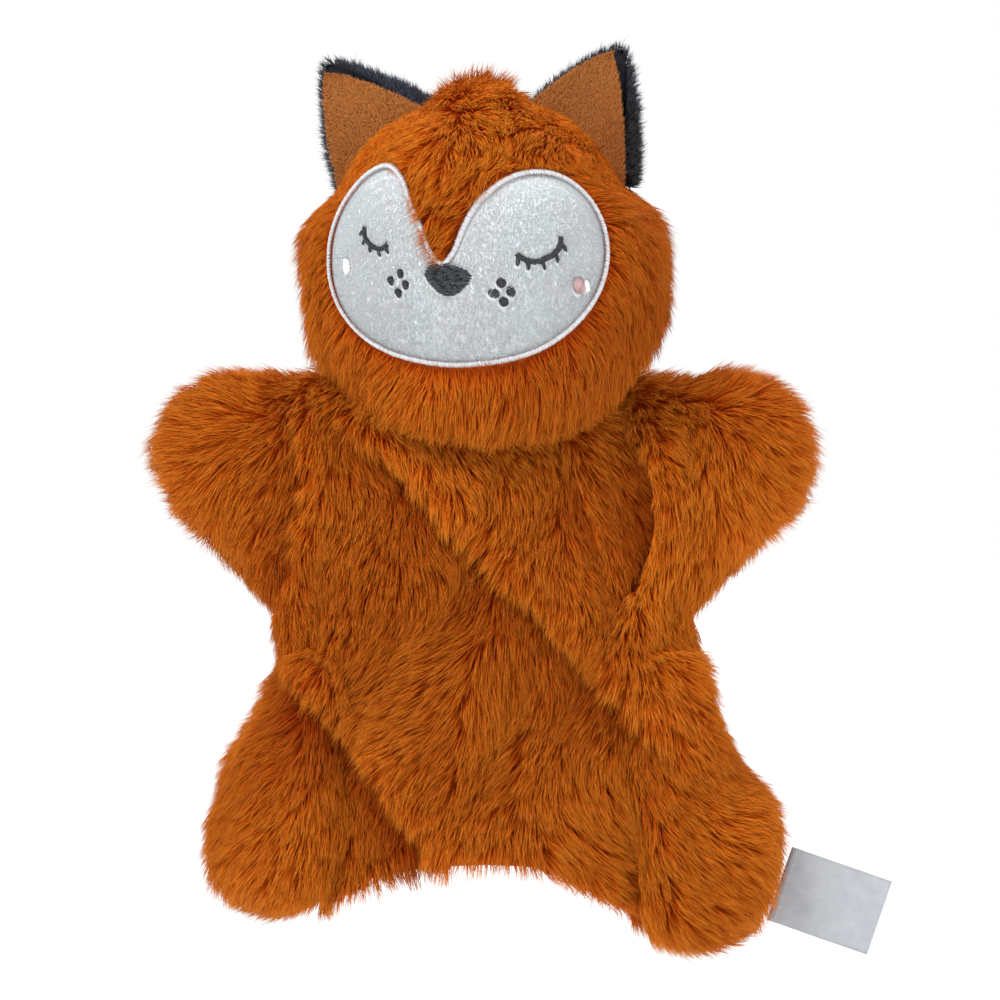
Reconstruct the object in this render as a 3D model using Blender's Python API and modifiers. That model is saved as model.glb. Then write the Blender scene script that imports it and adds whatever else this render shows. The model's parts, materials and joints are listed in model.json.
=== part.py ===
"""Fox glove puppet: plush head, body, arms and legs around a hand-shaped hollow.

Frame: metres, +Z up, face towards -Y, origin at the middle of the hand opening.
Lengths below are millimetres; make_object turns them into metres.
"""

import math

import bmesh
import bpy
import numpy as np

MM = 0.001
FUR = 2.6  # thickness of the plush fabric with its dense pile
GAP = 0.35  # clearance between neighbouring solids
SEAM = 0.3  # half the gap along a sewn seam
FACET = 1.8  # clearance inside a rounded shell, more than its flat faces dip inwards

# Head
HEAD_CENTRE = (0.0, -8.0, 183.0)
HEAD_HALF_WIDTH = 51.0
HEAD_FRONT = 50.0
HEAD_BACK = 38.0
HEAD_HALF_HEIGHT = 53.0
SQUARENESS = 0.85  # exponent of the superellipse: 1 is an ellipse
NECK = (0.0, 0.0, 153.0)  # the point the head moves about
NECK_BALL = 15.0
FINGER = 10.0  # radius of the finger's way up into the head
COLLAR = 17.5
COLLAR_TOP = NECK[2] + 14.0
BODY_BORE = COLLAR + 0.7
HEAD_BORE = COLLAR + 6.0  # wide enough for the head to nod and tilt over the collar
POCKET_TOP = 216.0
CUTTER_TURN = 0.061  # keeps a cutter's edges off the edges of what it cuts

# Face, in degrees round the head from its middle and millimetres of height
FACE_AZIMUTH = -10.5
FACE_TILT = 0.085  # fall in height per degree, so the face leans a little
FACE_MIDDLE = (0.0, 172.0)
MM_PER_DEGREE = 0.88
PILE_LIFT = 0.8
APPLIQUE = 1.2
THREAD = 0.9
THREAD_LIFT = PILE_LIFT + APPLIQUE + 0.25

# Ears: the two ends of the base and the tip, as x and z
EARS = {"left": ((-47.5, 209.5), (-21.5, 233.5), (-48.5, 240.5)),
        "right": ((18.0, 236.5), (46.5, 213.5), (42.0, 246.5))}
EAR_LIFT = 3.0

# Body
WAIST = 57.0
HEM_HALF_WIDTH = 46.5
HEM_SIDE = -8.0  # height of the hem at the legs; it is 0 in the middle
HIP = 58.0
FLANK_TOP = 76.0
BODY_DEPTH = 26.0
SHOULDER_SEAM = 147.0
CHEST = 112.0
LINING = 0.8
FACING_HEIGHT = 14.0

# Arms
SHOULDER = (52.0, 118.0)  # distance from the middle, height
SHOULDER_RADIUS = 30.0
SOCKET = SHOULDER_RADIUS + 0.8
SHOULDER_DEPTH = 22.0
SHOULDER_END = 36.0  # where the shoulder seam stops
ELBOW = 66.0
ELBOW_HEIGHT = 121.5
ELBOW_BALL = (16.0, 25.0)  # radius round the vertical axis, half height
ELBOW_MOUTH = 9.0
SLEEVE_END = math.radians(54.0)
PAW_TIP = {"left": (97.5, 127.0), "right": (95.5, 124.5)}

# Legs: lowest and highest points, greatest width
LEG = {"left": (-11.0, 56.0, 33.0), "right": (-23.0, 56.0, 39.5)}
LEG_DEPTH = 15.0
LEG_GAP = 1.1

# Label at the right leg's side seam
LABEL_HEIGHTS = (7.0, -15.0)
LABEL_LENGTH = 31.0
LABEL_DROOP = math.radians(13.0)
LABEL_LAYER = 0.45

SIDES = {"left": -1.0, "right": 1.0}

ORANGE = (0.479, 0.107, 0.007)
PALE = (0.604, 0.630, 0.651)
WHITE = (0.80, 0.80, 0.80)
BLACK = (0.015, 0.016, 0.020)
CHARCOAL = (0.035, 0.040, 0.046)
TAN = (0.380, 0.150, 0.045)
PINK = (0.62, 0.38, 0.37)
LINEN = (0.33, 0.11, 0.02)
FIBRE = (0.85, 0.85, 0.83)


def clear_scene():
    for obj in list(bpy.data.objects):
        bpy.data.objects.remove(obj, do_unlink=True)


def make_collection(name):
    collection = bpy.data.collections.new(name)
    bpy.context.scene.collection.children.link(collection)
    return collection


def make_material(name, colour, roughness):
    material = bpy.data.materials.new(name)
    material.use_nodes = True
    shader = material.node_tree.nodes["Principled BSDF"]
    shader.inputs["Base Color"].default_value = (*colour, 1.0)
    shader.inputs["Roughness"].default_value = roughness
    shader.inputs["Metallic"].default_value = 0.0
    return material


def link_mesh(name, bm, origin):
    """Turn a bmesh in millimetres into an object whose origin is the given point."""
    bmesh.ops.remove_doubles(bm, verts=bm.verts, dist=1e-4)
    bmesh.ops.dissolve_degenerate(bm, edges=bm.edges, dist=1e-4)
    bmesh.ops.recalc_face_normals(bm, faces=bm.faces)
    shift = [-c for c in origin]
    bmesh.ops.translate(bm, vec=shift, verts=bm.verts)
    bmesh.ops.scale(bm, vec=(MM, MM, MM), verts=bm.verts)
    mesh = bpy.data.meshes.new(name)
    bm.to_mesh(mesh)
    bm.free()
    obj = bpy.data.objects.new(name, mesh)
    obj.location = [c * MM for c in origin]
    return obj


def make_object(name, bm, colour, roughness=0.9, origin=(0.0, 0.0, 0.0)):
    obj = link_mesh(name, bm, origin)
    obj.data.materials.append(make_material(name, colour, roughness))
    PUPPET.objects.link(obj)
    return obj


def quad_grid(bm, points):
    """Add a grid of vertices, rows by columns, and the faces between them."""
    rows = [[bm.verts.new(p) for p in row] for row in points]
    for low, high in zip(rows, rows[1:]):
        for i in range(len(low) - 1):
            bm.faces.new((low[i], low[i + 1], high[i + 1], high[i]))
    return rows


def sheet(outer, inner):
    """Close the space between two matching grids into one thick sheet."""
    bm = bmesh.new()
    a = quad_grid(bm, outer)
    b = quad_grid(bm, inner)
    rim_a = a[0] + [r[-1] for r in a[1:]] + a[-1][-2::-1] + [r[0] for r in a[-2:0:-1]]
    rim_b = b[0] + [r[-1] for r in b[1:]] + b[-1][-2::-1] + [r[0] for r in b[-2:0:-1]]
    count = len(rim_a)
    for i in range(count):
        j = (i + 1) % count
        bm.faces.new((rim_a[i], rim_a[j], rim_b[j], rim_b[i]))
    return bm


def ring_solid(rings, closed_path=False):
    """Skin closed rings of points; the ends are capped unless the path itself closes."""
    bm = bmesh.new()
    rows = [[bm.verts.new(p) for p in ring] for ring in rings]
    pairs = list(zip(rows, rows[1:]))
    if closed_path:
        pairs.append((rows[-1], rows[0]))
    for low, high in pairs:
        for i in range(len(low)):
            j = (i + 1) % len(low)
            bm.faces.new((low[i], low[j], high[j], high[i]))
    if not closed_path:
        bm.faces.new(rows[0])
        bm.faces.new(rows[-1])
    return bm


def cut(obj, cutter):
    """Subtract a cutter with an exact Boolean and apply nothing."""
    modifier = obj.modifiers.new("cut_" + cutter.name, "BOOLEAN")
    modifier.operation = "DIFFERENCE"
    modifier.solver = "EXACT"
    modifier.object = cutter


def make_cutter(name, profile):
    """A turned cutter about the neck's vertical axis: radius and height pairs."""
    obj = link_mesh(name, turned(profile), (0.0, 0.0, 0.0))
    CUTTERS.objects.link(obj)
    obj.hide_render = True
    obj.display_type = "WIRE"
    return obj


def turned(profile, steps=28):
    """A solid turned about Z from a profile that starts and ends on the axis."""
    angles = CUTTER_TURN + np.linspace(0.0, 2.0 * math.pi, steps, endpoint=False)
    rings = [[(r * math.cos(a), r * math.sin(a), z) for a in angles] for r, z in profile]
    return ring_solid(rings)


def turned_cup(outer, inner, steps=24):
    """A thin round-ended cup about Z, open at its first profile points."""
    angles = np.linspace(0.0, 2.0 * math.pi, steps, endpoint=False)
    rings = []
    for r, z in outer[::-1] + inner:
        rings.append([(r * math.cos(a), r * math.sin(a), z) for a in angles])
    return ring_solid(rings)


def turned_ring(name, profile, colour):
    """A ring turned with a Screw modifier, its origin at the neck's pivot."""
    area = sum(a[0] * b[1] - b[0] * a[1] for a, b in zip(profile, profile[1:] + profile[:1]))
    if area > 0:
        profile = profile[::-1]
    bm = bmesh.new()
    verts = [bm.verts.new((r, 0.0, z)) for r, z in profile]
    for i, vert in enumerate(verts):
        bm.edges.new((vert, verts[(i + 1) % len(verts)]))
    mesh = bpy.data.meshes.new(name)
    bmesh.ops.translate(bm, vec=(0.0, 0.0, -NECK[2]), verts=bm.verts)
    bmesh.ops.scale(bm, vec=(MM, MM, MM), verts=bm.verts)
    bm.to_mesh(mesh)
    bm.free()
    obj = bpy.data.objects.new(name, mesh)
    obj.location = [c * MM for c in NECK]
    screw = obj.modifiers.new("turn", "SCREW")
    screw.steps = 28
    screw.render_steps = 28
    screw.use_merge_vertices = True
    screw.merge_threshold = 1e-6
    obj.data.materials.append(make_material(name, colour, 0.9))
    PUPPET.objects.link(obj)
    return obj


def smooth_max(a, b, softness):
    return 0.5 * (a + b + math.sqrt((a - b) ** 2 + softness**2))


def power(value, exponent=SQUARENESS):
    return math.copysign(abs(value) ** exponent, value)


def head_floor(y):
    """Height of the head's underside: it slopes down from the neck to the chin."""
    return NECK[2] + 9.5 + 0.65 * min(y, 0.0)


def head_point(azimuth, rise, inset):
    """A point of the head, inset from its surface; azimuth 0 is the face."""
    deep = HEAD_FRONT if math.cos(azimuth) > -1e-9 else HEAD_BACK
    level = power(math.cos(rise))
    x = (HEAD_HALF_WIDTH - inset) * level * power(math.sin(azimuth))
    y = HEAD_CENTRE[1] - (deep - inset) * level * power(math.cos(azimuth))
    z = HEAD_CENTRE[2] + (HEAD_HALF_HEIGHT - inset) * power(math.sin(rise))
    return (x, y, smooth_max(z, head_floor(y) + inset, 5.0))


def on_head(azimuth_degrees, height, lift):
    """A point over the face at a height, lifted off the head's surface."""
    azimuth = math.radians(azimuth_degrees)
    rise = max(-1.0, min(1.0, (height - HEAD_CENTRE[2]) / (HEAD_HALF_HEIGHT + lift)))
    level = (1.0 - abs(rise) ** (2.0 / SQUARENESS)) ** (SQUARENESS / 2.0)
    x = (HEAD_HALF_WIDTH + lift) * level * power(math.sin(azimuth))
    y = HEAD_CENTRE[1] - (HEAD_FRONT + lift) * level * power(math.cos(azimuth))
    return (x, y, height)


def head_shell(name, facing, columns=14, rows=14):
    """Front or back half of the head's plush, split at the crown seam."""
    middle = 0.0 if facing < 0 else math.pi
    grids = []
    for inset in (0.0, FUR):
        grid = []
        for rise in np.linspace(-math.pi / 2, math.pi / 2, rows + 1):
            row = []
            for turn in np.linspace(-math.pi / 2, math.pi / 2, columns + 1):
                x, y, z = head_point(middle + turn * 0.999999, rise, inset)
                if facing < 0:
                    y = min(y, HEAD_CENTRE[1] - SEAM)
                else:
                    y = max(y, HEAD_CENTRE[1] + SEAM)
                row.append((x, y, z))
            grid.append(row)
        grids.append(grid)
    return make_object(name, sheet(*grids), ORANGE, origin=NECK)


def head_filling():
    inset = FUR + FACET
    rings = []
    for rise in np.linspace(-math.pi / 2, math.pi / 2, 12):
        ring = []
        for azimuth in np.linspace(0.0, 2.0 * math.pi, 20, endpoint=False):
            ring.append(head_point(azimuth, rise, inset))
        rings.append(ring)
    return make_object("head_filling", ring_solid(rings), FIBRE, origin=NECK)


def pocket_profile(radius, bottom, top):
    """Profile of a round-ended post from the axis at the bottom to the axis at the top."""
    profile = [(0.0, bottom), (radius, bottom)]
    for angle in np.linspace(0.0, math.pi / 2, 7):
        profile.append((radius * math.cos(angle), top - radius + radius * math.sin(angle)))
    profile[-1] = (0.0, top)
    return profile


def finger_pocket():
    """The closed tube of lining that the finger fills inside the head."""
    outer = pocket_profile(FINGER + 1.2, COLLAR_TOP + GAP, POCKET_TOP)
    inner = pocket_profile(FINGER, COLLAR_TOP + GAP, POCKET_TOP - 1.2)
    bm = turned_cup(outer[1:], inner[1:])
    return make_object("head_finger_pocket", bm, LINEN, 0.8, origin=NECK)


def neck_pieces():
    """Two seam rings with the rounded neck tube between them."""
    seat = NECK_BALL + 0.6
    lower = [(FINGER, NECK[2] - 14.0), (COLLAR, NECK[2] - 14.0), (COLLAR, NECK[2] - 3.0)]
    upper = [(FINGER, COLLAR_TOP), (COLLAR, COLLAR_TOP), (COLLAR, NECK[2] + 3.0)]
    start = math.asin(3.0 / seat)
    stop = math.acos(FINGER / seat)
    for angle in np.linspace(start, stop, 6):
        r = seat * math.cos(angle)
        lower.append((r, NECK[2] - seat * math.sin(angle)))
        upper.append((r, NECK[2] + seat * math.sin(angle)))
    turned_ring("neck_collar", lower, LINEN)
    turned_ring("head_seam_ring", upper, LINEN)
    stop = math.acos(FINGER / NECK_BALL) - 0.06
    tube = []
    for angle in np.linspace(-stop, stop, 11):
        tube.append((NECK_BALL * math.cos(angle), NECK[2] + NECK_BALL * math.sin(angle)))
    end = NECK_BALL * math.sin(stop)
    tube.append((FINGER, NECK[2] + end))
    tube.append((FINGER, NECK[2] - end))
    turned_ring("neck_tube", tube, LINEN)


def head():
    front = head_shell("head_front_fur", -1.0)
    back = head_shell("head_back_fur", 1.0, rows=12)
    filling = head_filling()
    bottom = NECK[2] - 40.0
    bore = make_cutter("head_bore", [(0.0, bottom), (HEAD_BORE, bottom),
                                     (HEAD_BORE, COLLAR_TOP + GAP), (0.0, COLLAR_TOP + GAP)])
    hole = make_cutter("pocket_bore", pocket_profile(FINGER + 1.2 + GAP, COLLAR_TOP - 8.0, POCKET_TOP + GAP))
    for shell in (front, back):
        cut(shell, bore)
    cut(filling, bore)
    cut(filling, hole)
    finger_pocket()


def face_outline(steps=3):
    """Outline of the two-lobed face from half its shape, as azimuth and height."""
    half = [(0.0, 151.5), (22.0, 155.0), (40.0, 166.0), (51.0, 180.0), (52.0, 193.0), (43.0, 205.0),
            (29.0, 210.0), (16.0, 206.0), (8.0, 196.0), (3.4, 183.0)]
    other = [(-a, h) for a, h in half[:0:-1]]
    loop = half + other
    points = []
    count = len(loop)
    for i in range(count):
        p0, p1, p2, p3 = (np.array(loop[(i + k) % count]) for k in (-1, 0, 1, 2))
        for t in np.linspace(0.0, 1.0, steps, endpoint=False):
            point = 0.5 * (2 * p1 + (p2 - p0) * t + (2 * p0 - 5 * p1 + 4 * p2 - p3) * t**2
                           + (3 * p1 - p0 - 3 * p2 + p3) * t**3)
            points.append(tuple(point))
    return points


def face_point(azimuth, height, lift):
    """Place a point given in face degrees and height, with the face's own turn and lean."""
    return on_head(FACE_AZIMUTH + azimuth, height - FACE_TILT * azimuth, lift)


def face_applique():
    outline = face_outline()
    grids = []
    for lift in (PILE_LIFT + APPLIQUE, PILE_LIFT):
        rings = []
        for share in (0.25, 0.5, 0.75, 1.0):
            ring = []
            for azimuth, height in outline:
                a = FACE_MIDDLE[0] + share * (azimuth - FACE_MIDDLE[0])
                h = FACE_MIDDLE[1] + share * (height - FACE_MIDDLE[1])
                ring.append(face_point(a, h, lift))
            rings.append(ring)
        grids.append(rings)
    rings = grids[0] + grids[1][::-1]
    bm = ring_solid(rings)
    return make_object("face_applique", bm, PALE, origin=NECK)


def outline_normals(outline):
    """Outward unit normals of the face outline in millimetres over the surface."""
    flat = np.array([(a * MM_PER_DEGREE, h) for a, h in outline])
    along = np.roll(flat, -1, axis=0) - np.roll(flat, 1, axis=0)
    along /= np.linalg.norm(along, axis=1)[:, None]
    return flat, np.stack([along[:, 1], -along[:, 0]], axis=1)


def face_border():
    """The satin-stitched edge, a rounded band just outside the applique."""
    flat, normals = outline_normals(face_outline())
    section = [(0.3, PILE_LIFT), (0.3, 1.9), (1.1, 2.3), (1.9, 1.8), (1.9, PILE_LIFT)]
    rings = []
    for point, normal in zip(flat, normals):
        ring = []
        for out, lift in section:
            a, h = point + out * normal
            ring.append(face_point(a / MM_PER_DEGREE, h, lift))
        rings.append(ring)
    return make_object("face_border", ring_solid(rings, closed_path=True), WHITE, 0.5, origin=NECK)


def stitched_patch(name, azimuth, height, outline, colour, roughness=0.6, lift=THREAD_LIFT):
    """A small raised patch of thread on the face; the outline is millimetres from its middle."""
    rings = []
    for level in (lift, lift + THREAD):
        rings.append([face_point(azimuth + u / MM_PER_DEGREE, height + v, level) for u, v in outline])
    return make_object(name, ring_solid(rings), colour, roughness, origin=NECK)


def circle(radius, sides=12):
    angles = np.linspace(0.0, 2.0 * math.pi, sides, endpoint=False)
    return [(radius * math.cos(a), radius * math.sin(a)) for a in angles]


def nose():
    """A flat-topped nose that narrows to a rounded lower end."""
    outline = []
    for a in np.linspace(0.0, 2.0 * math.pi, 20, endpoint=False):
        drop = 6.0 if math.sin(a) < 0 else 4.0
        outline.append((6.8 * power(math.cos(a), 0.9), drop * power(math.sin(a), 0.75)))
    stitched_patch("nose", 0.0, 178.2, outline, CHARCOAL, lift=THREAD_LIFT + 0.5)


def eye(side, sign):
    """A closed lid: a sagging line of stitches with lashes below it."""
    lashes = (-0.82, -0.4, 0.12, 0.62)
    upper = []
    lower = []
    for t in np.linspace(-1.0, 1.0, 33):
        across = 6.6 * t
        line = 2.6 * t * t + 2.1 * t - 1.2
        lash = max(max(0.0, 1.0 - abs(t - mark) / 0.1) for mark in lashes)
        upper.append((sign * across, line + 0.65))
        lower.append((sign * (across + 0.5 * lash), line - 0.65 - 1.9 * lash))
    grids = []
    for lift in (THREAD_LIFT + THREAD, THREAD_LIFT):
        grids.append([[face_point(sign * 25.5 + u / MM_PER_DEGREE, 187.0 + v, lift) for u, v in row]
                      for row in (upper, lower)])
    make_object(side + "_eye", sheet(*grids), BLACK, 0.6, origin=NECK)


def face():
    face_applique()
    face_border()
    nose()
    diamond = [(0.0, 2.9), (2.6, 0.2), (0.2, -3.0), (-2.6, -0.1)]
    for side, sign in SIDES.items():
        eye(side, sign)
        for i, (u, v) in enumerate(diamond):
            azimuth = sign * 15.3 + u / MM_PER_DEGREE
            stitched_patch(f"{side}_freckle_{i + 1}", azimuth, 174.8 + v, circle(1.15, 8), BLACK)
    stitched_patch("left_cheek_spot", -40.5, 178.0, [(0.75 * u, 1.15 * v) for u, v in circle(1.9)], WHITE, 0.35)
    stitched_patch("right_cheek_spot", 40.5, 179.0, circle(2.6), PINK, 0.35)


def ear_plate(name, side, y_middle, half_thickness, grow, colour):
    """One layer of an ear: a rounded triangle standing on the head's outline."""
    left, right, tip = (np.array(p) for p in EARS[side])
    along = (right - left) / np.linalg.norm(right - left)
    out = np.array([-along[1], along[0]])
    base = 0.5 * (left + right)
    half_base = 0.5 * np.linalg.norm(right - left) + grow
    axis = tip - base
    axis = axis * (1.0 + grow / np.linalg.norm(axis))
    grids = []
    for face_sign in (-1.0, 1.0):
        grid = []
        for v in np.linspace(0.0, 1.0, 7):
            half = half_base * (1.0 - v**1.35) ** 0.8
            row = []
            for u in np.linspace(-1.0, 1.0, 9):
                bulge = EAR_LIFT + 1.6 * (1.0 - u * u)
                point = base + axis * v + along * u * half + out * bulge * (1.0 - v)
                crown = (1.0 - u**4) * (1.0 - v**3) * (0.35 + 0.65 * min(1.0, v / 0.25))
                thick = 0.4 + (half_thickness - 0.4) * crown
                row.append((point[0], y_middle + face_sign * thick, point[1]))
            grid.append(row)
        grids.append(grid)
    origin = (base[0], HEAD_CENTRE[1], base[1])
    return make_object(name, sheet(*grids), colour, origin=origin)


def ears():
    for side in SIDES:
        ear_plate(side + "_ear_front", side, HEAD_CENTRE[1] - 1.6, 1.4, 0.0, TAN)
        ear_plate(side + "_ear_back", side, HEAD_CENTRE[1] + 1.9, 1.6, 1.6, BLACK)


def body_half_width(z):
    """Half width of the body; the socket of the arm cuts into it above the flank."""
    if z < HIP:
        return HEM_HALF_WIDTH + (z - HEM_SIDE) * (WAIST - HEM_HALF_WIDTH) / (HIP - HEM_SIDE)
    if z < FLANK_TOP:
        return WAIST + 1.5 * (z - HIP) / (FLANK_TOP - HIP)
    bottom = SHOULDER[1] - SOCKET
    if z < bottom:
        share = (z - FLANK_TOP) / (bottom - FLANK_TOP)
        return SHOULDER[0] + (WAIST + 1.5 - SHOULDER[0]) * math.sqrt(max(0.0, 1.0 - share * share))
    reach = math.sqrt(max(0.0, SOCKET**2 - (z - SHOULDER[1]) ** 2))
    return min(SHOULDER[0] - reach, SHOULDER_END) if z > SHOULDER[1] else SHOULDER[0] - reach


def body_depth(z, inset):
    """Half depth of the body on its middle line."""
    deep = BODY_DEPTH - inset
    if z <= CHEST:
        return deep
    height = SHOULDER_SEAM - inset - CHEST
    share = min(1.0, (z - CHEST) / height)
    return max(SEAM, deep * math.sqrt(max(0.0, 1.0 - share * share)))


def socket_depth(z, inset):
    """Half depth of the body at its edge: open towards the arm, sewn elsewhere."""
    share = (z - SHOULDER[1]) / SOCKET
    if abs(share) >= 1.0:
        return SEAM
    edge = SHOULDER_DEPTH * math.sqrt(1.0 - share * share)
    return max(SEAM, min(edge, body_depth(z, 0.0)) - inset)


def hem_height(x):
    return HEM_SIDE * (x / HEM_HALF_WIDTH) ** 2


def body_rows(top):
    """Heights of the body's rows, close together where the outline turns."""
    bottom = SHOULDER[1] - SOCKET
    low = list(np.linspace(0.0, FLANK_TOP, 6))
    flank = list(bottom - (bottom - FLANK_TOP) * np.cos(np.linspace(0.5, math.pi / 2, 3)))
    corner = math.acos((SHOULDER[0] - SHOULDER_END) / SOCKET)
    arc = [SHOULDER[1] + SOCKET * math.sin(a) for a in np.linspace(-math.pi / 2, corner, 10)]
    rest = SHOULDER_SEAM - arc[-1]
    crown = [arc[-1] + rest * math.sin(a) for a in np.linspace(0.6, math.pi / 2, 3)]
    rows = low + flank + arc[1:] + crown
    share = (top - CHEST) / (SHOULDER_SEAM - CHEST)
    return [z if z < CHEST else CHEST + (z - CHEST) * share for z in rows]


def hem_share(z):
    """How much of the hem's curve the body follows at a height."""
    return max(0.0, 1.0 - z / HIP)


def body_surface(facing, inset):
    """A grid over the front or back of the body at an inset from its outside."""
    grid = []
    outer_rows = body_rows(SHOULDER_SEAM)
    for z_outer, z in zip(outer_rows, body_rows(SHOULDER_SEAM - inset)):
        edge_outer = socket_depth(z_outer, 0.0)
        edge = socket_depth(z_outer, inset)
        tucked = inset - (edge_outer - edge)
        at_edge = z_outer + hem_share(z_outer) * HEM_SIDE
        half = min(body_half_width(at_edge), body_half_width(z)) - max(0.0, tucked)
        deep = max(edge, body_depth(z, inset))
        row = []
        for u in np.linspace(-1.0, 1.0, 15):
            angle = u * math.pi / 2
            x = half * math.sin(angle)
            bulge = deep * deep * math.cos(angle) ** 2 + edge * edge * math.sin(angle) ** 2
            y = facing * math.sqrt(bulge)
            row.append((x, y, z + hem_share(z_outer) * hem_height(x)))
        grid.append(row)
    return grid


def body_shell(name, facing):
    bm = sheet(body_surface(facing, 0.0), body_surface(facing, FUR))
    return make_object(name, bm, ORANGE)


def body_layer(name, facing, bottom, top, thickness, colour):
    """A thin layer inside the plush, between two shares of the hem-to-flank height."""
    grids = []
    for inset in (FUR + GAP, FUR + GAP + thickness):
        grid = []
        for share in np.linspace(bottom, top, 5):
            z = share * FLANK_TOP
            half = body_half_width(z + hem_share(z) * HEM_SIDE) - inset - GAP
            row = []
            for u in np.linspace(-1.0, 1.0, 13):
                angle = u * math.pi / 2
                x = half * math.sin(angle)
                y = facing * max(SEAM, (BODY_DEPTH - inset) * math.cos(angle))
                row.append((x, y, z + hem_share(z) * hem_height(x)))
            grid.append(row)
        grids.append(grid)
    return make_object(name, sheet(*grids), colour, 0.8)


def body():
    bottom = NECK[2] - 14.0 - GAP
    top = NECK[2] + 30.0
    neck_hole = make_cutter("neck_hole", [(0.0, bottom), (BODY_BORE, bottom), (BODY_BORE, top), (0.0, top)])
    for side, facing in (("front", -1.0), ("back", 1.0)):
        shell = body_shell(f"body_{side}_fur", facing)
        cut(shell, neck_hole)
        split = FACING_HEIGHT / FLANK_TOP
        body_layer(f"hem_facing_{side}", facing, 0.006, split, 1.0, ORANGE)
        body_layer(f"body_lining_{side}", facing, split + 0.008, 0.97, LINING, LINEN)


def sleeve(name, sign, facing):
    """Half of the shoulder: from the round root in the body's socket to the elbow."""
    grids = []
    for inset in (0.0, FUR):
        ball = ELBOW_BALL[0] + 0.7 + FUR - inset
        tall = ELBOW_BALL[1] + 0.7 + FUR - inset
        grid = []
        for s in np.linspace(0.0, 1.0, 4):
            row = []
            for a in np.linspace(-math.pi / 2, math.pi / 2, 13):
                root = np.array([SHOULDER[0] - SHOULDER_RADIUS * math.cos(a),
                                 (SHOULDER_DEPTH - inset) * math.cos(a),
                                 SHOULDER[1] + (SHOULDER_RADIUS - inset) * math.sin(a)])
                end = np.array([ELBOW - ball * math.cos(SLEEVE_END) * math.cos(a),
                                ball * math.sin(SLEEVE_END) * math.cos(a),
                                ELBOW_HEIGHT + tall * math.sin(a)])
                x, y, z = root + s * (end - root)
                row.append((sign * x, facing * max(SEAM, y), z))
            grid.append(row)
        grids.append(grid)
    origin = (sign * SHOULDER[0], 0.0, SHOULDER[1])
    return make_object(name, sheet(*grids), ORANGE, origin=origin)


def arm_section(side, x, inset):
    """Middle height, half height and half depth of the forearm at a distance x."""
    radius = ELBOW_BALL[0] - inset
    tall = ELBOW_BALL[1] - inset
    if x < ELBOW:
        level = math.sqrt(max(0.0, 1.0 - ((ELBOW - x) / radius) ** 2))
        return ELBOW_HEIGHT, tall * level, radius * level
    tip, tip_height = PAW_TIP[side]
    share = min(1.0, (x - ELBOW) / (tip - inset - ELBOW))
    level = (1.0 - share**2.4) ** 0.417
    middle = ELBOW_HEIGHT + (tip_height - ELBOW_HEIGHT) * share
    plump = 4.0 * math.sin(math.pi * min(share, 0.5))
    return middle, tall * level, (radius + plump) * level


def forearm(name, side, sign, facing):
    """Half of the forearm and paw, open at the elbow for a finger."""
    tip = PAW_TIP[side][0]
    grids = []
    for inset in (0.0, FUR):
        grid = []
        stops = list(np.linspace(ELBOW - ELBOW_MOUTH, ELBOW, 4))
        stops += [ELBOW + (tip - inset - ELBOW) * math.sin(a) for a in np.linspace(0.25, math.pi / 2, 7)]
        for x in stops:
            middle, tall, deep = arm_section(side, x, inset)
            row = []
            for a in np.linspace(-math.pi / 2, math.pi / 2, 11):
                row.append((sign * x, facing * max(SEAM, deep * math.cos(a)), middle + tall * math.sin(a)))
            grid.append(row)
        grids.append(grid)
    origin = (sign * ELBOW, 0.0, ELBOW_HEIGHT)
    return make_object(name, sheet(*grids), ORANGE, origin=origin)


def leg_spread(share):
    """Width of the leg as a share of its greatest width, from the toe (0) to the hip (1)."""
    peak = 0.284**0.4 * 0.716
    return share**0.4 * (1.0 - share) / peak


def leg_section(side, share, inset):
    """Middle distance, half width, half depth and height of the leg at a share of its length."""
    bottom, top, width = LEG[side]
    z = bottom + share * (top - bottom)
    spread = leg_spread(share)
    inner = body_half_width(min(z, HIP)) + LEG_GAP + 19.0 * max(0.0, 1.0 - share / 0.25) ** 2
    half = 0.5 * width * spread
    deep = LEG_DEPTH * spread**0.75
    return inner + half, half - inset, deep - inset, z


def leg_stops(side, inset, count):
    """Shares along the leg at which a layer at this inset has room, rounded at both ends."""
    shares = np.linspace(0.0, 1.0, 2001)
    room = [s for s in shares if min(leg_section(side, s, inset)[1:3]) > 0.02]
    middle = 0.5 * (room[0] + room[-1])
    reach = 0.5 * (room[-1] - room[0])
    return [middle - reach * math.cos(a) for a in np.linspace(0.0, math.pi, count)]


def leg_hinge(sign):
    """The middle of the leg's root seam."""
    low = np.array([HEM_HALF_WIDTH + 0.5 * LEG_GAP, HEM_SIDE])
    high = np.array([WAIST + 0.5 * LEG_GAP, HIP])
    middle = 0.5 * (low + high)
    return (sign * middle[0], 0.0, middle[1])


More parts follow.
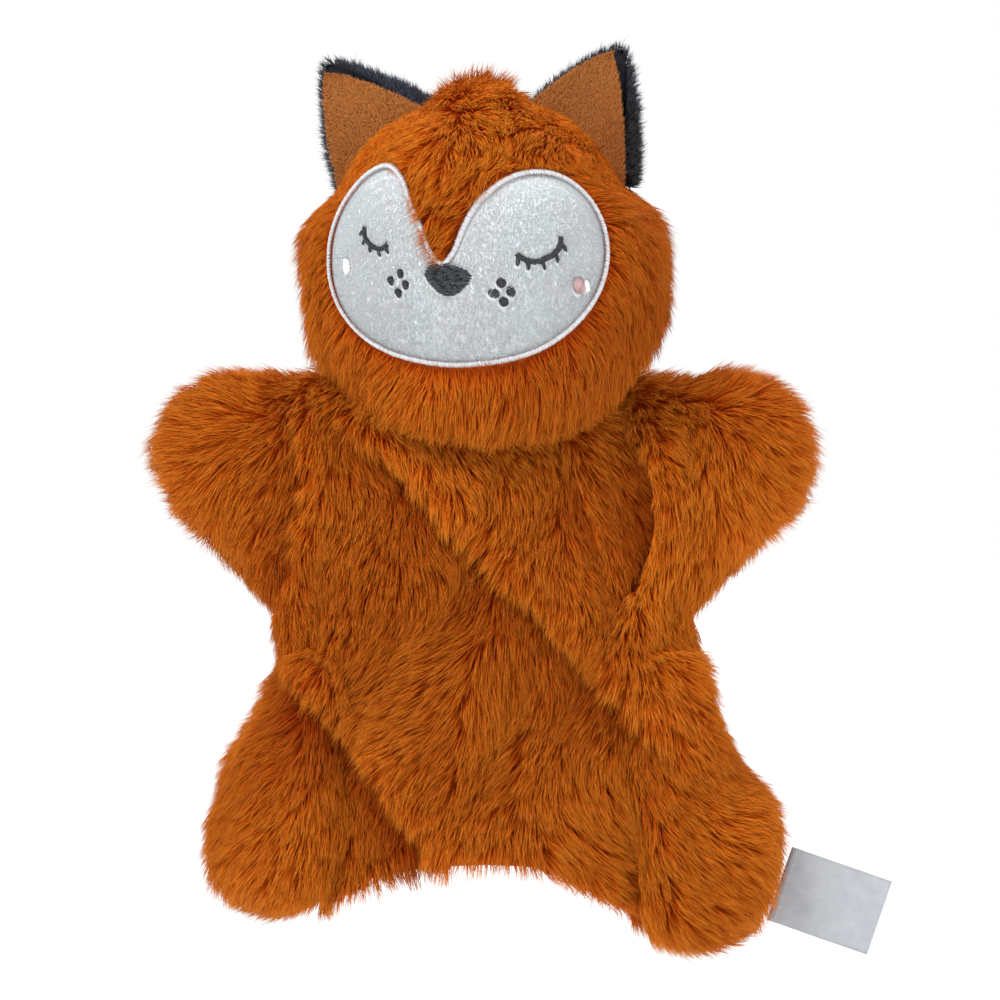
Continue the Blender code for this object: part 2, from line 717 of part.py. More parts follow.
def leg(side, sign):
    grids = {}
    for inset in (0.0, FUR):
        stops = leg_stops(side, inset, 11)
        for facing in (-1.0, 1.0):
            grid = []
            for share in stops:
                middle, half, deep, z = leg_section(side, share, inset)
                row = []
                for a in np.linspace(-math.pi / 2, math.pi / 2, 11):
                    y = facing * max(SEAM, deep * math.cos(a))
                    row.append((sign * (middle + half * math.sin(a)), y, z))
                grid.append(row)
            grids[facing, inset] = grid
    origin = leg_hinge(sign)
    for name, facing in (("front", -1.0), ("back", 1.0)):
        bm = sheet(grids[facing, 0.0], grids[facing, FUR])
        make_object(f"{side}_leg_{name}_fur", bm, ORANGE, origin=origin)
    rings = []
    inset = FUR + FACET
    for share in leg_stops(side, inset, 9):
        middle, half, deep, z = leg_section(side, share, inset)
        rings.append([(sign * (middle + half * math.sin(a)), deep * math.cos(a), z)
                      for a in np.linspace(0.0, 2.0 * math.pi, 14, endpoint=False)])
    make_object(f"{side}_leg_filling", ring_solid(rings), FIBRE, origin=origin)


def label_root():
    """The label's two root corners, just outside the right leg's side seam."""
    corners = []
    bottom, top, _ = LEG["right"]
    for height in LABEL_HEIGHTS:
        middle, half, _, _ = leg_section("right", (height - bottom) / (top - bottom), 0.0)
        corners.append((middle + half, height))
    return corners


def label():
    """A ribbon folded in half: two layers joined at the far end."""
    top, bottom = (np.array(p) for p in label_root())
    middle = 0.5 * (top + bottom)
    half = 0.5 * np.linalg.norm(top - bottom)
    lean = math.atan2(top[0] - bottom[0], top[1] - bottom[1]) + LABEL_DROOP
    along = np.array([math.sin(lean), math.cos(lean)])
    out = np.array([along[1], -along[0]])
    middle = middle + (1.2 + half * math.sin(LABEL_DROOP)) * out
    high = middle + half * along
    low = middle - half * along
    reach = LABEL_LENGTH
    thick = LABEL_LAYER
    profile = [(0.0, thick), (reach - 1.0, thick), (reach, 0.35), (reach, -0.35), (reach - 1.0, -thick),
               (0.0, -thick), (0.0, -0.12), (reach - 1.3, -0.12), (reach - 1.3, 0.12), (0.0, 0.12)]
    rings = []
    for end in (low, high):
        rings.append([(end[0] + out[0] * d, y, end[1] + out[1] * d) for d, y in profile])
    bm = ring_solid(rings)
    make_object("side_label", bm, WHITE, 0.35, origin=(middle[0], 0.0, middle[1]))


def arms():
    for side, sign in SIDES.items():
        for name, facing in (("front", -1.0), ("back", 1.0)):
            sleeve(f"{side}_sleeve_{name}_fur", sign, facing)
            forearm(f"{side}_arm_{name}_fur", side, sign, facing)


clear_scene()
PUPPET = make_collection("hand_puppet")
CUTTERS = make_collection("cutters")
body()
neck_pieces()
head()
face()
ears()
arms()
for leg_side, leg_sign in SIDES.items():
    leg(leg_side, leg_sign)
label()
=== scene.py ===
"""The fox glove puppet's looks: long-pile plush, embroidered face, ears, label and lining.

Frame: metres, +Z up, face towards -Y, origin at the middle of the hand opening.
Lengths in the functions are millimetres; they become metres when a mesh is made.
"""

import json
import math

import bmesh
import bpy
import numpy as np
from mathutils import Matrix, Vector
from mathutils.kdtree import KDTree


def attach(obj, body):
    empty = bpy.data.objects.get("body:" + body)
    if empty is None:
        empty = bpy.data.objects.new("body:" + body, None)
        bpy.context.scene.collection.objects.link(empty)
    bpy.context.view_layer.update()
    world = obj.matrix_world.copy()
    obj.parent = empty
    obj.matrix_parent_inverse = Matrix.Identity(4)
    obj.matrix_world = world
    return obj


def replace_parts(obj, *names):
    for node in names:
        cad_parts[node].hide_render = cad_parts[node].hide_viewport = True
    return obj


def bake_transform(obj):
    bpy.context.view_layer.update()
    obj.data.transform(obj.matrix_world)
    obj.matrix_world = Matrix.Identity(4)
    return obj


MM = 0.001
SEED = 20
UV_NAME = "OFBake"

# Head and face, the same surface as the CAD head's
HEAD_CENTRE = (0.0, -8.0, 183.0)
HEAD_HALF_WIDTH = 51.0
HEAD_FRONT = 50.0
HEAD_BACK = 38.0
HEAD_HALF_HEIGHT = 53.0
SQUARENESS = 0.85
NECK_Z = 153.0
CHIN_SLOPE = 0.65
FACE_AZIMUTH = -10.5
FACE_TILT = 0.085
MM_PER_DEGREE = 0.88
FACE_LIFT = 0.5
APPLIQUE = 1.2
THREAD_LIFT = 2.6
FACE_MIDDLE = np.array([0.0, 172.0])
FACE_SWELL = 0.5

# Strands of pile on each part at full density, and their widths
BODY_STRANDS, HEAD_STRANDS, FACE_STRANDS, TAN_STRANDS, BLACK_STRANDS = 185000, 78000, 72000, 13000, 12000
BODY_WIDTH, HEAD_WIDTH, TAN_WIDTH, BLACK_WIDTH = 0.28, 0.29, 0.2, 0.24
PIECE_LIMIT, FACE_PIECE_LIMIT = 12000, 18000  # strands in a piece, so that each stays a moderate mesh
DENSITY = 1.0
STRAND_POINTS = 4
SHADE_COLUMNS = 40  # columns of the fibres' UVs, one shade each

# Outline of the two-lobed face, millimetres across and height
FACE_OUTLINE = [
    (0.0, 181.6), (-3.0, 184.2), (-6.6, 192.7), (-10.4, 200.2), (-14.0, 206.3), (-20.1, 209.6),
    (-27.9, 206.5), (-35.2, 199.0), (-40.1, 191.0), (-42.6, 183.1), (-42.0, 174.1), (-37.2, 165.4),
    (-28.7, 158.2), (-18.5, 154.0), (-7.5, 152.3), (3.3, 152.3), (13.5, 154.7), (23.6, 159.2),
    (32.4, 166.2), (39.0, 174.4), (42.8, 182.3), (44.2, 190.0), (43.0, 197.5), (39.4, 204.2),
    (33.6, 209.2), (26.7, 211.5), (19.3, 210.9), (13.5, 208.0), (9.8, 203.7), (7.2, 198.2), (5.0, 192.0),
    (2.8, 185.2)]


def rng_for(name):
    """A random generator of its own for each piece, so pieces don't change each other."""
    return np.random.default_rng(SEED + sum(ord(c) * (i + 1) for i, c in enumerate(name)))


# ---------------------------------------------------------------- mesh helpers


def grid_faces(rows, columns, closed=True):
    """Corner indices of the quads of a grid whose columns may close into rings."""
    span = columns if closed else columns - 1
    i, j = np.meshgrid(np.arange(rows - 1), np.arange(span), indexing="ij")
    k = (j + 1) % columns
    low, high = i * columns, (i + 1) * columns
    return np.stack([low + j, low + k, high + k, high + j], -1).reshape(-1, 4)


def add_object(name, data):
    obj = bpy.data.objects.new(name, data)
    bpy.context.scene.collection.objects.link(obj)
    return obj


def mesh_object(name, verts, faces, material):
    """A smooth-shaded mesh from points in millimetres and faces of corner indices."""
    mesh = bpy.data.meshes.new(name)
    points = [tuple(v) for v in np.asarray(verts) * MM]
    mesh.from_pydata(points, [], [tuple(int(i) for i in f) for f in faces])
    mesh.materials.append(material)
    mesh.polygons.foreach_set("use_smooth", [True] * len(mesh.polygons))
    mesh.update()
    return add_object(name, mesh)


def clean(obj, distance=0.02):
    """Weld what coincides and point every face outwards."""
    bm = bmesh.new()
    bm.from_mesh(obj.data)
    bmesh.ops.remove_doubles(bm, verts=bm.verts, dist=distance * MM)
    bmesh.ops.recalc_face_normals(bm, faces=bm.faces)
    bm.to_mesh(obj.data)
    bm.free()
    return obj


def loft(name, rings, material):
    """A closed solid through rings of points."""
    rings = np.asarray(rings, float)
    rows, columns = rings.shape[:2]
    faces = [list(f) for f in grid_faces(rows, columns)]
    faces.append(list(range(columns)))
    faces.append(list(range((rows - 1) * columns, rows * columns)))
    return clean(mesh_object(name, rings.reshape(-1, 3), faces, material))


def fade(value, start, end):
    """0 up to start, 1 from end on and straight between; start may be the larger."""
    return np.clip((value - start) / (end - start), 0, 1)


def unit(v):
    """Vectors scaled to length one."""
    return v / np.maximum(np.linalg.norm(v, axis=-1, keepdims=True), 1e-9)


def tubes(name, paths, radii, material, shade, rng, sides=3, pointed=True, ups=None):
    """Many thin tapered tubes in one mesh: paths is tubes x points x 3, radii tubes x points.

    UVs run along each tube (v) with one shade column per tube (u), for the fibre materials.
    """
    n, k = paths.shape[:2]
    along = unit(np.gradient(paths, axis=1))
    if ups is None:
        ups = rng.normal(size=(n, 1, 3))
    across = unit(np.cross(along, np.broadcast_to(ups, along.shape)))
    other = np.cross(along, across)
    angle = 2 * math.pi * np.arange(sides) / sides
    spokes = across[:, :, None] * np.cos(angle)[:, None] + other[:, :, None] * np.sin(angle)[:, None]
    points = paths[:, :, None] + spokes * radii[:, :, None, None]
    rings = k - 1 if pointed else k
    body = points[:, :rings].reshape(n, rings * sides, 3)
    last = (rings - 1) * sides
    if pointed:
        body = np.concatenate([body, paths[:, -1:]], axis=1)
        ends = np.array([[last + (s + 1) % sides, last + s, rings * sides] for s in range(sides)])
    else:
        ends = np.array([range(sides), range(last + sides - 1, last - 1, -1)])
    quads = grid_faces(rings, sides)[:, ::-1]
    sizes = [4] * len(quads) + [ends.shape[1]] * len(ends)
    pattern = np.concatenate([quads.reshape(-1), ends.reshape(-1)])
    tube = np.arange(n)[:, None]
    loops = (pattern[None] + body.shape[1] * tube).reshape(-1)
    starts = np.concatenate([[0], np.cumsum(sizes)[:-1]])
    starts = (starts[None] + len(pattern) * tube).reshape(-1)
    mesh = bpy.data.meshes.new(name)
    mesh.vertices.add(n * body.shape[1])
    mesh.loops.add(len(loops))
    mesh.polygons.add(len(starts))
    mesh.vertices.foreach_set("co", (body * MM).astype(np.float32).reshape(-1))
    mesh.loops.foreach_set("vertex_index", loops.astype(np.int32))
    mesh.polygons.foreach_set("loop_start", starts.astype(np.int32))
    mesh.polygons.foreach_set("use_smooth", np.ones(len(starts), bool))
    mesh.materials.append(material)
    mesh.update(calc_edges=True)
    column = (np.floor(np.clip(shade, 0, 0.999) * SHADE_COLUMNS) + 0.3) / SHADE_COLUMNS
    u = column[:, None] + 0.004 * (pattern % sides)[None] / sides
    v = np.minimum(pattern // sides, k - 1) / (k - 1)
    uv = np.stack([u, np.broadcast_to(0.01 + 0.98 * v, u.shape)], -1)
    layer = mesh.uv_layers.new(name=UV_NAME)
    layer.data.foreach_set("uv", uv.astype(np.float32).reshape(-1))
    return add_object(name, mesh)


# ---------------------------------------------------------------- materials


def new_material(name, roughness, sheen=0.0, specular=0.3):
    material = bpy.data.materials.new(name)
    material.use_nodes = True
    shader = material.node_tree.nodes["Principled BSDF"]
    shader.inputs["Roughness"].default_value = roughness
    shader.inputs["Sheen Weight"].default_value = sheen
    shader.inputs["Specular IOR Level"].default_value = specular
    return material, material.node_tree, shader


def add_node(tree, kind, **inputs):
    """A new shader node with some of its inputs set."""
    node = tree.nodes.new("ShaderNode" + kind)
    for name, value in inputs.items():
        node.inputs[name].default_value = value
    return node


def ramp_node(tree, source, stops):
    """A colour ramp fed by source; stops are places and colours."""
    node = add_node(tree, "ValToRGB")
    elements = node.color_ramp.elements
    while len(elements) > 1:
        elements.remove(elements[-1])
    elements[0].position = stops[0][0]
    elements[0].color = (*stops[0][1], 1)
    for place, colour in stops[1:]:
        elements.new(place).color = (*colour, 1)
    tree.links.new(source, node.inputs[0])
    return node


def fibre_material(name, root, middle, tip, roughness, spread, specular):
    """Fibres that change colour from root to tip, each in its own shade; darker shades are also redder. On
    the body and head the shades carry painted shade as well as random tone.
    """
    material, tree, shader = new_material(name, roughness, specular=specular)
    uv = add_node(tree, "UVMap")
    uv.uv_map = UV_NAME
    split = add_node(tree, "SeparateXYZ")
    tree.links.new(uv.outputs[0], split.inputs[0])
    along = ramp_node(tree, split.outputs[1], [(0.0, root), (0.45, middle), (1.0, tip)])
    dark, light = 1.0 - spread, 1.0 + spread
    shades = ramp_node(tree, split.outputs[0], [
        (0.0, (dark, dark**2.2, dark**3)), (0.5, (1.0, 1.0, 1.0)), (1.0, (light, light**1.6, light**2))])
    mix = add_node(tree, "Mix")
    mix.data_type = "RGBA"
    mix.blend_type = "MULTIPLY"
    mix.inputs["Factor"].default_value = 1.0
    tree.links.new(along.outputs[0], mix.inputs[6])
    tree.links.new(shades.outputs[0], mix.inputs[7])
    tree.links.new(mix.outputs[2], shader.inputs["Base Color"])
    return material


def mottle(tree, shader, scale, detail, stops):
    """Softly varied colour over the surface; returns where it is measured, and the noise."""
    place = add_node(tree, "TexCoord").outputs["Object"]
    noise = add_node(tree, "TexNoise", Scale=scale, Detail=detail)
    tree.links.new(place, noise.inputs["Vector"])
    colours = ramp_node(tree, noise.outputs[0], stops)
    tree.links.new(colours.outputs[0], shader.inputs["Base Color"])
    return place, noise.outputs[0]


def wave_height(tree, place, direction, scale, distortion):
    wave = add_node(tree, "TexWave", Scale=scale, Distortion=distortion)
    wave.bands_direction = direction
    tree.links.new(place, wave.inputs["Vector"])
    return wave.outputs[1]


def add_bump(tree, shader, height, strength, distance):
    bump = add_node(tree, "Bump", Strength=strength, Distance=distance)
    tree.links.new(height, bump.inputs["Height"])
    tree.links.new(bump.outputs[0], shader.inputs["Normal"])


def cloth_material(name, light, dark, scale, bump, roughness=0.85, sheen=0.0, threads=None):
    """Backing cloth or woven lining: mottled colour with a fine noise or weave bump."""
    material, tree, shader = new_material(name, roughness, sheen)
    place, height = mottle(tree, shader, scale, 6.0, [(0.3, dark), (0.7, light)])
    if threads:
        weave = add_node(tree, "Math")
        weave.operation = "MAXIMUM"
        for i, direction in enumerate("XZ"):
            tree.links.new(wave_height(tree, place, direction, threads, 0.6), weave.inputs[i])
        height = weave.outputs[0]
    add_bump(tree, shader, height, bump, 0.0004)
    return material


def label_material():
    """White satin ribbon: fine crosswise floats in a slightly uneven white."""
    material, tree, shader = new_material("satin_ribbon", 0.4)
    place, _ = mottle(tree, shader, 240, 5, [(0.25, (0.33, 0.345, 0.37)), (0.75, (0.40, 0.415, 0.44))])
    add_bump(tree, shader, wave_height(tree, place, "Z", 700, 0.8), 0.35, 0.0002)
    return material


# Pile: name, colours at root, middle and tip, roughness, spread of the shades, gloss
FIBRES = {
    "fur": ("orange_long_pile", (0.58, 0.076, 0.001), (0.53, 0.089, 0.002), (0.63, 0.200, 0.016),
            0.7, 0.32, 0.08),
    "pale_pile": ("pale_short_pile", (0.50, 0.53, 0.55), (0.555, 0.585, 0.605), (0.60, 0.63, 0.65),
                  0.9, 0.035, 0.0),
    "tan_pile": ("tan_short_pile", (0.30, 0.092, 0.016), (0.46, 0.160, 0.034), (0.60, 0.240, 0.062),
                 0.7, 0.16, 0.25),
    "black_pile": ("black_long_pile", (0.006, 0.007, 0.010), (0.014, 0.016, 0.024), (0.045, 0.050, 0.066),
                   0.4, 0.4, 0.45),
}
# Threads are the same colour at both ends, which are given once
THREADS = {
    "satin": ("white_satin_thread", (0.42, 0.42, 0.44), (0.60, 0.60, 0.61), 0.32, 0.08, 0.6),
    # shine: bright thread for the painted highlights on the cheek spots
    "shine": ("painted_highlight_thread", (0.75, 0.75, 0.76), (0.92, 0.92, 0.93), 0.3, 0.04, 0.6),
    "pink": ("pink_satin_thread", (0.36, 0.23, 0.23), (0.50, 0.34, 0.34), 0.35, 0.12, 0.5),
    "black": ("black_thread", (0.008, 0.009, 0.012), (0.020, 0.022, 0.028), 0.45, 0.3, 0.45),
    "charcoal": ("charcoal_thread", (0.014, 0.016, 0.020), (0.028, 0.032, 0.038), 0.45, 0.3, 0.35),
}
# Backings: name, light and dark colour, scale of the mottling, bump
CLOTHS = {
    "skin": ("orange_backing", (0.42, 0.068, 0.001), (0.34, 0.050, 0.001), 300, 0.5),
    "pale_cloth": ("pale_backing", (0.62, 0.65, 0.67), (0.57, 0.60, 0.62), 900, 0.3),
    "tan_cloth": ("tan_backing", (0.36, 0.120, 0.024), (0.28, 0.09, 0.018), 500, 0.3),
    "black_cloth": ("black_backing", (0.012, 0.013, 0.018), (0.007, 0.008, 0.011), 500, 0.4),
}
MATERIALS = {}


def make_materials():
    for key, values in FIBRES.items():
        MATERIALS[key] = fibre_material(*values)
    for key, (name, end, middle, *finish) in THREADS.items():
        MATERIALS[key] = fibre_material(name, end, middle, end, *finish)
    for key, values in CLOTHS.items():
        MATERIALS[key] = cloth_material(*values)
    MATERIALS["lining"] = cloth_material("woven_lining", (0.36, 0.125, 0.022), (0.28, 0.09, 0.014), 60, 0.6,
                                         roughness=0.7, sheen=0.3, threads=900)
    MATERIALS["stuffing"] = cloth_material("fibre_stuffing", (0.85, 0.85, 0.83), (0.7, 0.7, 0.68), 200, 0.8,
                                           sheen=0.3)
    MATERIALS["label"] = label_material()


# ---------------------------------------------------------------- head surface


def power(value, exponent=SQUARENESS):
    """A signed power, which squares off or sharpens a round section."""
    return np.sign(value) * np.abs(value) ** exponent


def smooth_max(a, b, softness):
    """The larger of two values, with a rounded corner where they meet."""
    return 0.5 * (a + b + np.sqrt((a - b) ** 2 + softness**2))


def head_point(azimuth, rise):
    """Points of the head; azimuth 0 is straight ahead, rise runs from chin to crown."""
    deep = np.where(np.cos(azimuth) > -1e-9, HEAD_FRONT, HEAD_BACK)
    level = power(np.cos(rise))
    x = HEAD_HALF_WIDTH * level * power(np.sin(azimuth))
    y = HEAD_CENTRE[1] - deep * level * power(np.cos(azimuth))
    z = HEAD_CENTRE[2] + HEAD_HALF_HEIGHT * power(np.sin(rise))
    floor = NECK_Z + 9.5 + CHIN_SLOPE * np.minimum(y, 0.0)
    return np.stack([x, y, smooth_max(z, floor, 5.0)], -1)


def head_level(rise):
    """Width of the head at a share of its half height, as a share of its greatest width."""
    return (1.0 - np.abs(rise) ** (2.0 / SQUARENESS)) ** (SQUARENESS / 2.0)


def on_head(azimuth_degrees, height, lift):
    """Points at a lift over the head's front, from azimuth and height."""
    azimuth = np.radians(azimuth_degrees)
    rise = np.clip((height - HEAD_CENTRE[2]) / (HEAD_HALF_HEIGHT + lift), -1, 1)
    level = head_level(rise)
    x = (HEAD_HALF_WIDTH + lift) * level * power(np.sin(azimuth))
    y = HEAD_CENTRE[1] - (HEAD_FRONT + lift) * level * power(np.cos(azimuth))
    return np.stack(np.broadcast_arrays(x, y, height), -1)


def face_point(u, v, lift):
    """Face coordinates (millimetres across, height) to a point over the head."""
    azimuth = np.asarray(u) / MM_PER_DEGREE
    return on_head(FACE_AZIMUTH + azimuth, np.asarray(v) - FACE_TILT * azimuth, lift)


def face_coordinates(points):
    """The inverse of face_point for points near the head's surface."""
    height = points[:, 2]
    rise = np.clip((height - HEAD_CENTRE[2]) / HEAD_HALF_HEIGHT, -0.999, 0.999)
    level = head_level(rise)
    ratio = np.clip(points[:, 0] / (HEAD_HALF_WIDTH * level), -1, 1)
    ahead = np.clip((HEAD_CENTRE[1] - points[:, 1]) / (HEAD_FRONT * level), -1, 1)
    azimuth = np.degrees(np.arctan2(power(ratio, 1 / SQUARENESS), power(ahead, 1 / SQUARENESS)))
    azimuth = azimuth - FACE_AZIMUTH
    return azimuth * MM_PER_DEGREE, height + FACE_TILT * azimuth


def catmull(loop, steps):
    """A smooth closed curve through a loop of points."""
    loop = np.asarray(loop, float)
    t = np.linspace(0, 1, steps, endpoint=False)[:, None]
    parts = []
    for i in range(len(loop)):
        p0, p1, p2, p3 = (loop[(i + k) % len(loop)] for k in (-1, 0, 1, 2))
        parts.append(0.5 * (2 * p1 + (p2 - p0) * t + (2 * p0 - 5 * p1 + 4 * p2 - p3) * t**2
                            + (3 * p1 - p0 - 3 * p2 + p3) * t**3))
    return np.concatenate(parts)


def face_outline(steps=8):
    """The face's edge, in so many steps from each point of the outline to the next."""
    return catmull(FACE_OUTLINE, steps)


def inside(points, loop):
    """Whether each point is inside a closed outline."""
    x, y = points[:, 0:1], points[:, 1:2]
    x0, y0 = loop[:, 0], loop[:, 1]
    x1, y1 = np.roll(x0, -1), np.roll(y0, -1)
    straddle = (y0 > y) != (y1 > y)
    crossing = (x1 - x0) * (y - y0) / np.where(y1 == y0, 1e-9, y1 - y0) + x0
    return (np.sum(straddle & (x < crossing), axis=1) % 2) == 1


def distance_to(points, loop):
    """Distance from each point to the nearest sample of an outline."""
    best = np.full(len(points), 1e9)
    for start in range(0, len(loop), 60):
        part = loop[start:start + 60]
        gap = np.linalg.norm(points[:, None] - part[None], axis=2).min(1)
        best = np.minimum(best, gap)
    return best


# ---------------------------------------------------------------- skins


def ring(centre, half, front, back, z, count=48, squareness=0.9):
    """A level ring of a soft body section."""
    a = np.linspace(0, 2 * math.pi, count, endpoint=False)
    x = centre + half * power(np.cos(a), squareness)
    depth = np.where(np.sin(a) > 0, back, front)
    y = depth * power(np.sin(a), squareness)
    return np.stack([x, y, np.full(count, z)], -1)


def torso_rings():
    heights = np.linspace(-16, 150, 60)
    stops = [-16, 30, 58, 74, 90, 104, 122, 150]
    left = np.interp(heights, stops, [47, 52, 57, 60, 64, 62, 52, 44])
    right = np.interp(heights, stops, [47, 52, 59, 60, 63, 62, 52, 44])
    depth = np.interp(heights, [-16, 10, 60, 100, 112], [25, 26.5, 27, 27, 26])
    share = fade(heights, 112, 150.5)
    depth = depth * np.sqrt(1 - share**2) + 0.4
    rings = []
    for z, l, r, d in zip(heights, left, right, depth):
        rings.append(ring(0.5 * (r - l), 0.5 * (l + r), d, d * 0.95, z))
    return rings


def arm_rings(side):
    """Sections of the arm along x, from inside the chest to the paw's tip."""
    sign, tip = (-1, 97.0) if side == "left" else (1, 95.0)
    top_x, low_x = [20, 45, 62, 76, 84, 91, tip], [20, 45, 58, 66, 74, 84, 91, tip]
    if side == "left":
        top, low = [143, 146, 147, 147.5, 145, 140, 127], [96, 84, 78, 84, 95, 104, 110, 127]
    else:
        top, low = [143, 146, 146, 147.5, 145, 137, 124], [96, 84, 78, 84, 93, 103, 109, 124]
    count = 44
    a = np.linspace(0, 2 * math.pi, count, endpoint=False)
    rings = []
    for x in 20 + (tip - 20.5) * np.sin(np.linspace(0, math.pi / 2, 34)):
        share = fade(x, 60, tip)
        high, base = np.interp(x, top_x, top), np.interp(x, low_x, low)
        deep = 21.0 * (1 - share**2.6) ** 0.42 + 0.3
        z = 0.5 * (high + base) + 0.5 * (high - base) * power(np.sin(a), 0.92)
        rings.append(np.stack([np.full(count, sign * x), deep * power(np.cos(a), 0.92), z], -1))
    return rings


def leg_rings(side):
    """Level sections of a leg, from the hip to the toe."""
    if side == "left":
        sign = -1
        heights = [62, 50, 40, 28, 14, 2, -6, -12]
        outer = [57, 61, 69, 76, 80, 80, 76, 66]
        inner = [40, 40, 38, 36, 36, 44, 50, 60]
    else:
        sign = 1
        heights = [62, 50, 40, 28, 14, 2, -10, -18, -22.5]
        outer = [62, 65, 69, 75, 87, 86, 82, 77, 68]
        inner = [40, 40, 38, 36, 36, 42, 46, 52, 62]
    rings = []
    for z in np.linspace(heights[0], heights[-1], 30):
        out, inn = (np.interp(z, heights[::-1], edge[::-1]) for edge in (outer, inner))
        share = fade(z, heights[-1], heights[-1] + 20)
        deep = 22.5 * (1 - (1 - share) ** 2.2) ** 0.5 + 0.5
        rings.append(ring(sign * 0.5 * (out + inn), 0.5 * (out - inn), deep, deep, z, 40))
    return rings


def hem_height(x):
    """Lower edge of the plush between the legs."""
    return np.interp(x, [-60, -46, -28, -10, 6, 22, 36, 50, 62], [-17, -9, -2, 4, 5, -2, -10, -16, -22])


def segment_gap(flat, a, b):
    """From the nearest place of a segment to each point, seen from the front."""
    d = b - a
    t = np.clip(((flat - a) @ d) / (d @ d), 0, 1)
    return flat - (a + t[:, None] * d)


# Folds: a path down the front in x and z, with the rise of the side on its right or above it,
# the drop on its other side, and how far each reaches
FOLDS = [
    ([(-31, 128), (-21, 120.6), (1.5, 99.4), (18, 81), (35, 61.5), (47, 48)], 5.5, 5.0, 20.0, 10.0),
    ([(-58, 62), (-41, 45), (-26, 23.6), (-12, 5)], 4.5, 6.0, 18.0, 12.0),
    ([(50, 124), (54, 112), (52, 96), (46, 84)], 3.5, 5.0, 10.0, 11.0),
    ([(-55, 130), (-53, 112), (-57, 94)], 2.6, 3.4, 12.0, 8.0),
    ([(24, 126), (30, 108), (36, 92)], 1.2, 2.0, 12.0, 10.0),
]


def fold_field(points):
    """How far the folds push the front skin in or out, and the painted shade of the fur over them: darker
    below each fold and in the hollow, lighter (painted light) on each fold's raised side.
    """
    push = np.zeros(len(points))
    shade = np.zeros(len(points))
    flat = points[:, [0, 2]]
    for path, rise, drop, above, below in FOLDS:
        path = np.asarray(path, float)
        best = np.full(len(points), 1e9)
        upper = np.zeros(len(points), bool)
        for a, b in zip(path, path[1:]):
            gap = segment_gap(flat, a, b)
            distance = np.linalg.norm(gap, axis=1)
            nearer = distance < best
            best = np.where(nearer, distance, best)
            upper = np.where(nearer, gap @ np.array([a[1] - b[1], b[0] - a[0]]) > 0, upper)
        push += np.where(upper, rise * np.exp(-best / above), -drop * np.exp(-best / below))
        # painted light on a fold's raised side, painted shade below it
        shade += np.where(upper, -0.25 * np.exp(-best / 9.0), np.exp(-best / below) * drop / 4.0)
    # the hollow is a real dent with painted shade in it
    hollow = np.exp(-((points[:, 0] - 37) ** 2 + (points[:, 2] - 106) ** 2) / 190.0)
    return push - 2.5 * hollow, np.clip(shade + 0.8 * hollow, -0.4, 1.0)


def remesh(obj, size, rounds):
    """Fuse the joined lofts into one skin and relax it."""
    modifier = obj.modifiers.new("fuse", "REMESH")
    modifier.mode = "VOXEL"
    modifier.voxel_size = size * MM
    modifier.use_smooth_shade = True
    relax = obj.modifiers.new("relax", "SMOOTH")
    relax.factor = 0.5
    relax.iterations = rounds
    graph = bpy.context.evaluated_depsgraph_get()
    mesh = bpy.data.meshes.new_from_object(obj.evaluated_get(graph))
    obj.modifiers.clear()
    old = obj.data
    obj.data = mesh
    bpy.data.meshes.remove(old)


def arrays(mesh):
    """Vertices (millimetres), vertex normals and triangles of a mesh as arrays."""
    verts = np.zeros(len(mesh.vertices) * 3, np.float32)
    mesh.vertices.foreach_get("co", verts)
    normals = np.zeros(len(mesh.vertices) * 3, np.float32)
    mesh.vertex_normals.foreach_get("vector", normals)
    mesh.calc_loop_triangles()
    tris = np.zeros(len(mesh.loop_triangles) * 3, np.int32)
    mesh.loop_triangles.foreach_get("vertices", tris)
    verts, normals = verts.reshape(-1, 3).astype(float), normals.reshape(-1, 3).astype(float)
    return verts / MM, normals, tris.reshape(-1, 3)


def noise_field(points, scale, seed):
    """Smooth pseudo-random vectors over space, from a few fixed waves."""
    rng = np.random.default_rng(seed)
    total = np.zeros((len(points), 3))
    for octave in range(3):
        for _ in range(5):
            wave = rng.normal(size=3) * (2**octave) / scale
            phase = rng.uniform(0, 2 * math.pi)
            total += np.sin(points @ wave + phase)[:, None] * rng.normal(size=3) / (1.6**octave)
    return total / 3.0


def body_skin():
    """One soft skin for body, arms and legs, with the photo's folds."""
    lofts = [loft("torso_form", torso_rings(), MATERIALS["skin"])]
    for side in ("left", "right"):
        lofts.append(loft(side + "_arm_form", arm_rings(side), MATERIALS["skin"]))
        lofts.append(loft(side + "_leg_form", leg_rings(side), MATERIALS["skin"]))
    mesh = bpy.data.meshes.new("body_form")
    bm = bmesh.new()
    for obj in lofts:
        bm.from_mesh(obj.data)
        bpy.data.objects.remove(obj)
    bm.to_mesh(mesh)
    bm.free()
    mesh.materials.append(MATERIALS["skin"])
    skin = add_object("body_form", mesh)
    remesh(skin, size=2.2, rounds=24)
    verts, normals, _ = arrays(skin.data)
    push = fold_field(verts)[0] * np.clip(-normals[:, 1] * 1.6, 0, 1)
    push += 1.3 * noise_field(verts, 20.0, 5)[:, 0]
    verts = verts + normals * push[:, None]
    skin.data.vertices.foreach_set("co", (verts * MM).astype(np.float32).reshape(-1))
    skin.data.update()
    return skin


# ---------------------------------------------------------------- fur


def scatter(verts, normals, tris, weight, count, rng):
    """Random points over a mesh, denser where the weight at the vertices is larger."""
    a, b, c = (verts[tris[:, i]] for i in range(3))
    area = 0.5 * np.linalg.norm(np.cross(b - a, c - a), axis=1) * weight[tris].mean(1)
    pick = rng.choice(len(tris), size=count, p=area / area.sum())
    r1, r2 = np.sqrt(rng.random(count)), rng.random(count)
    bary = np.stack([1 - r1, r1 * (1 - r2), r1 * r2], -1)
    points = sum(verts[tris[pick, i]] * bary[:, i:i + 1] for i in range(3))
    way = unit(sum(normals[tris[pick, i]] * bary[:, i:i + 1] for i in range(3)))
    return points, way


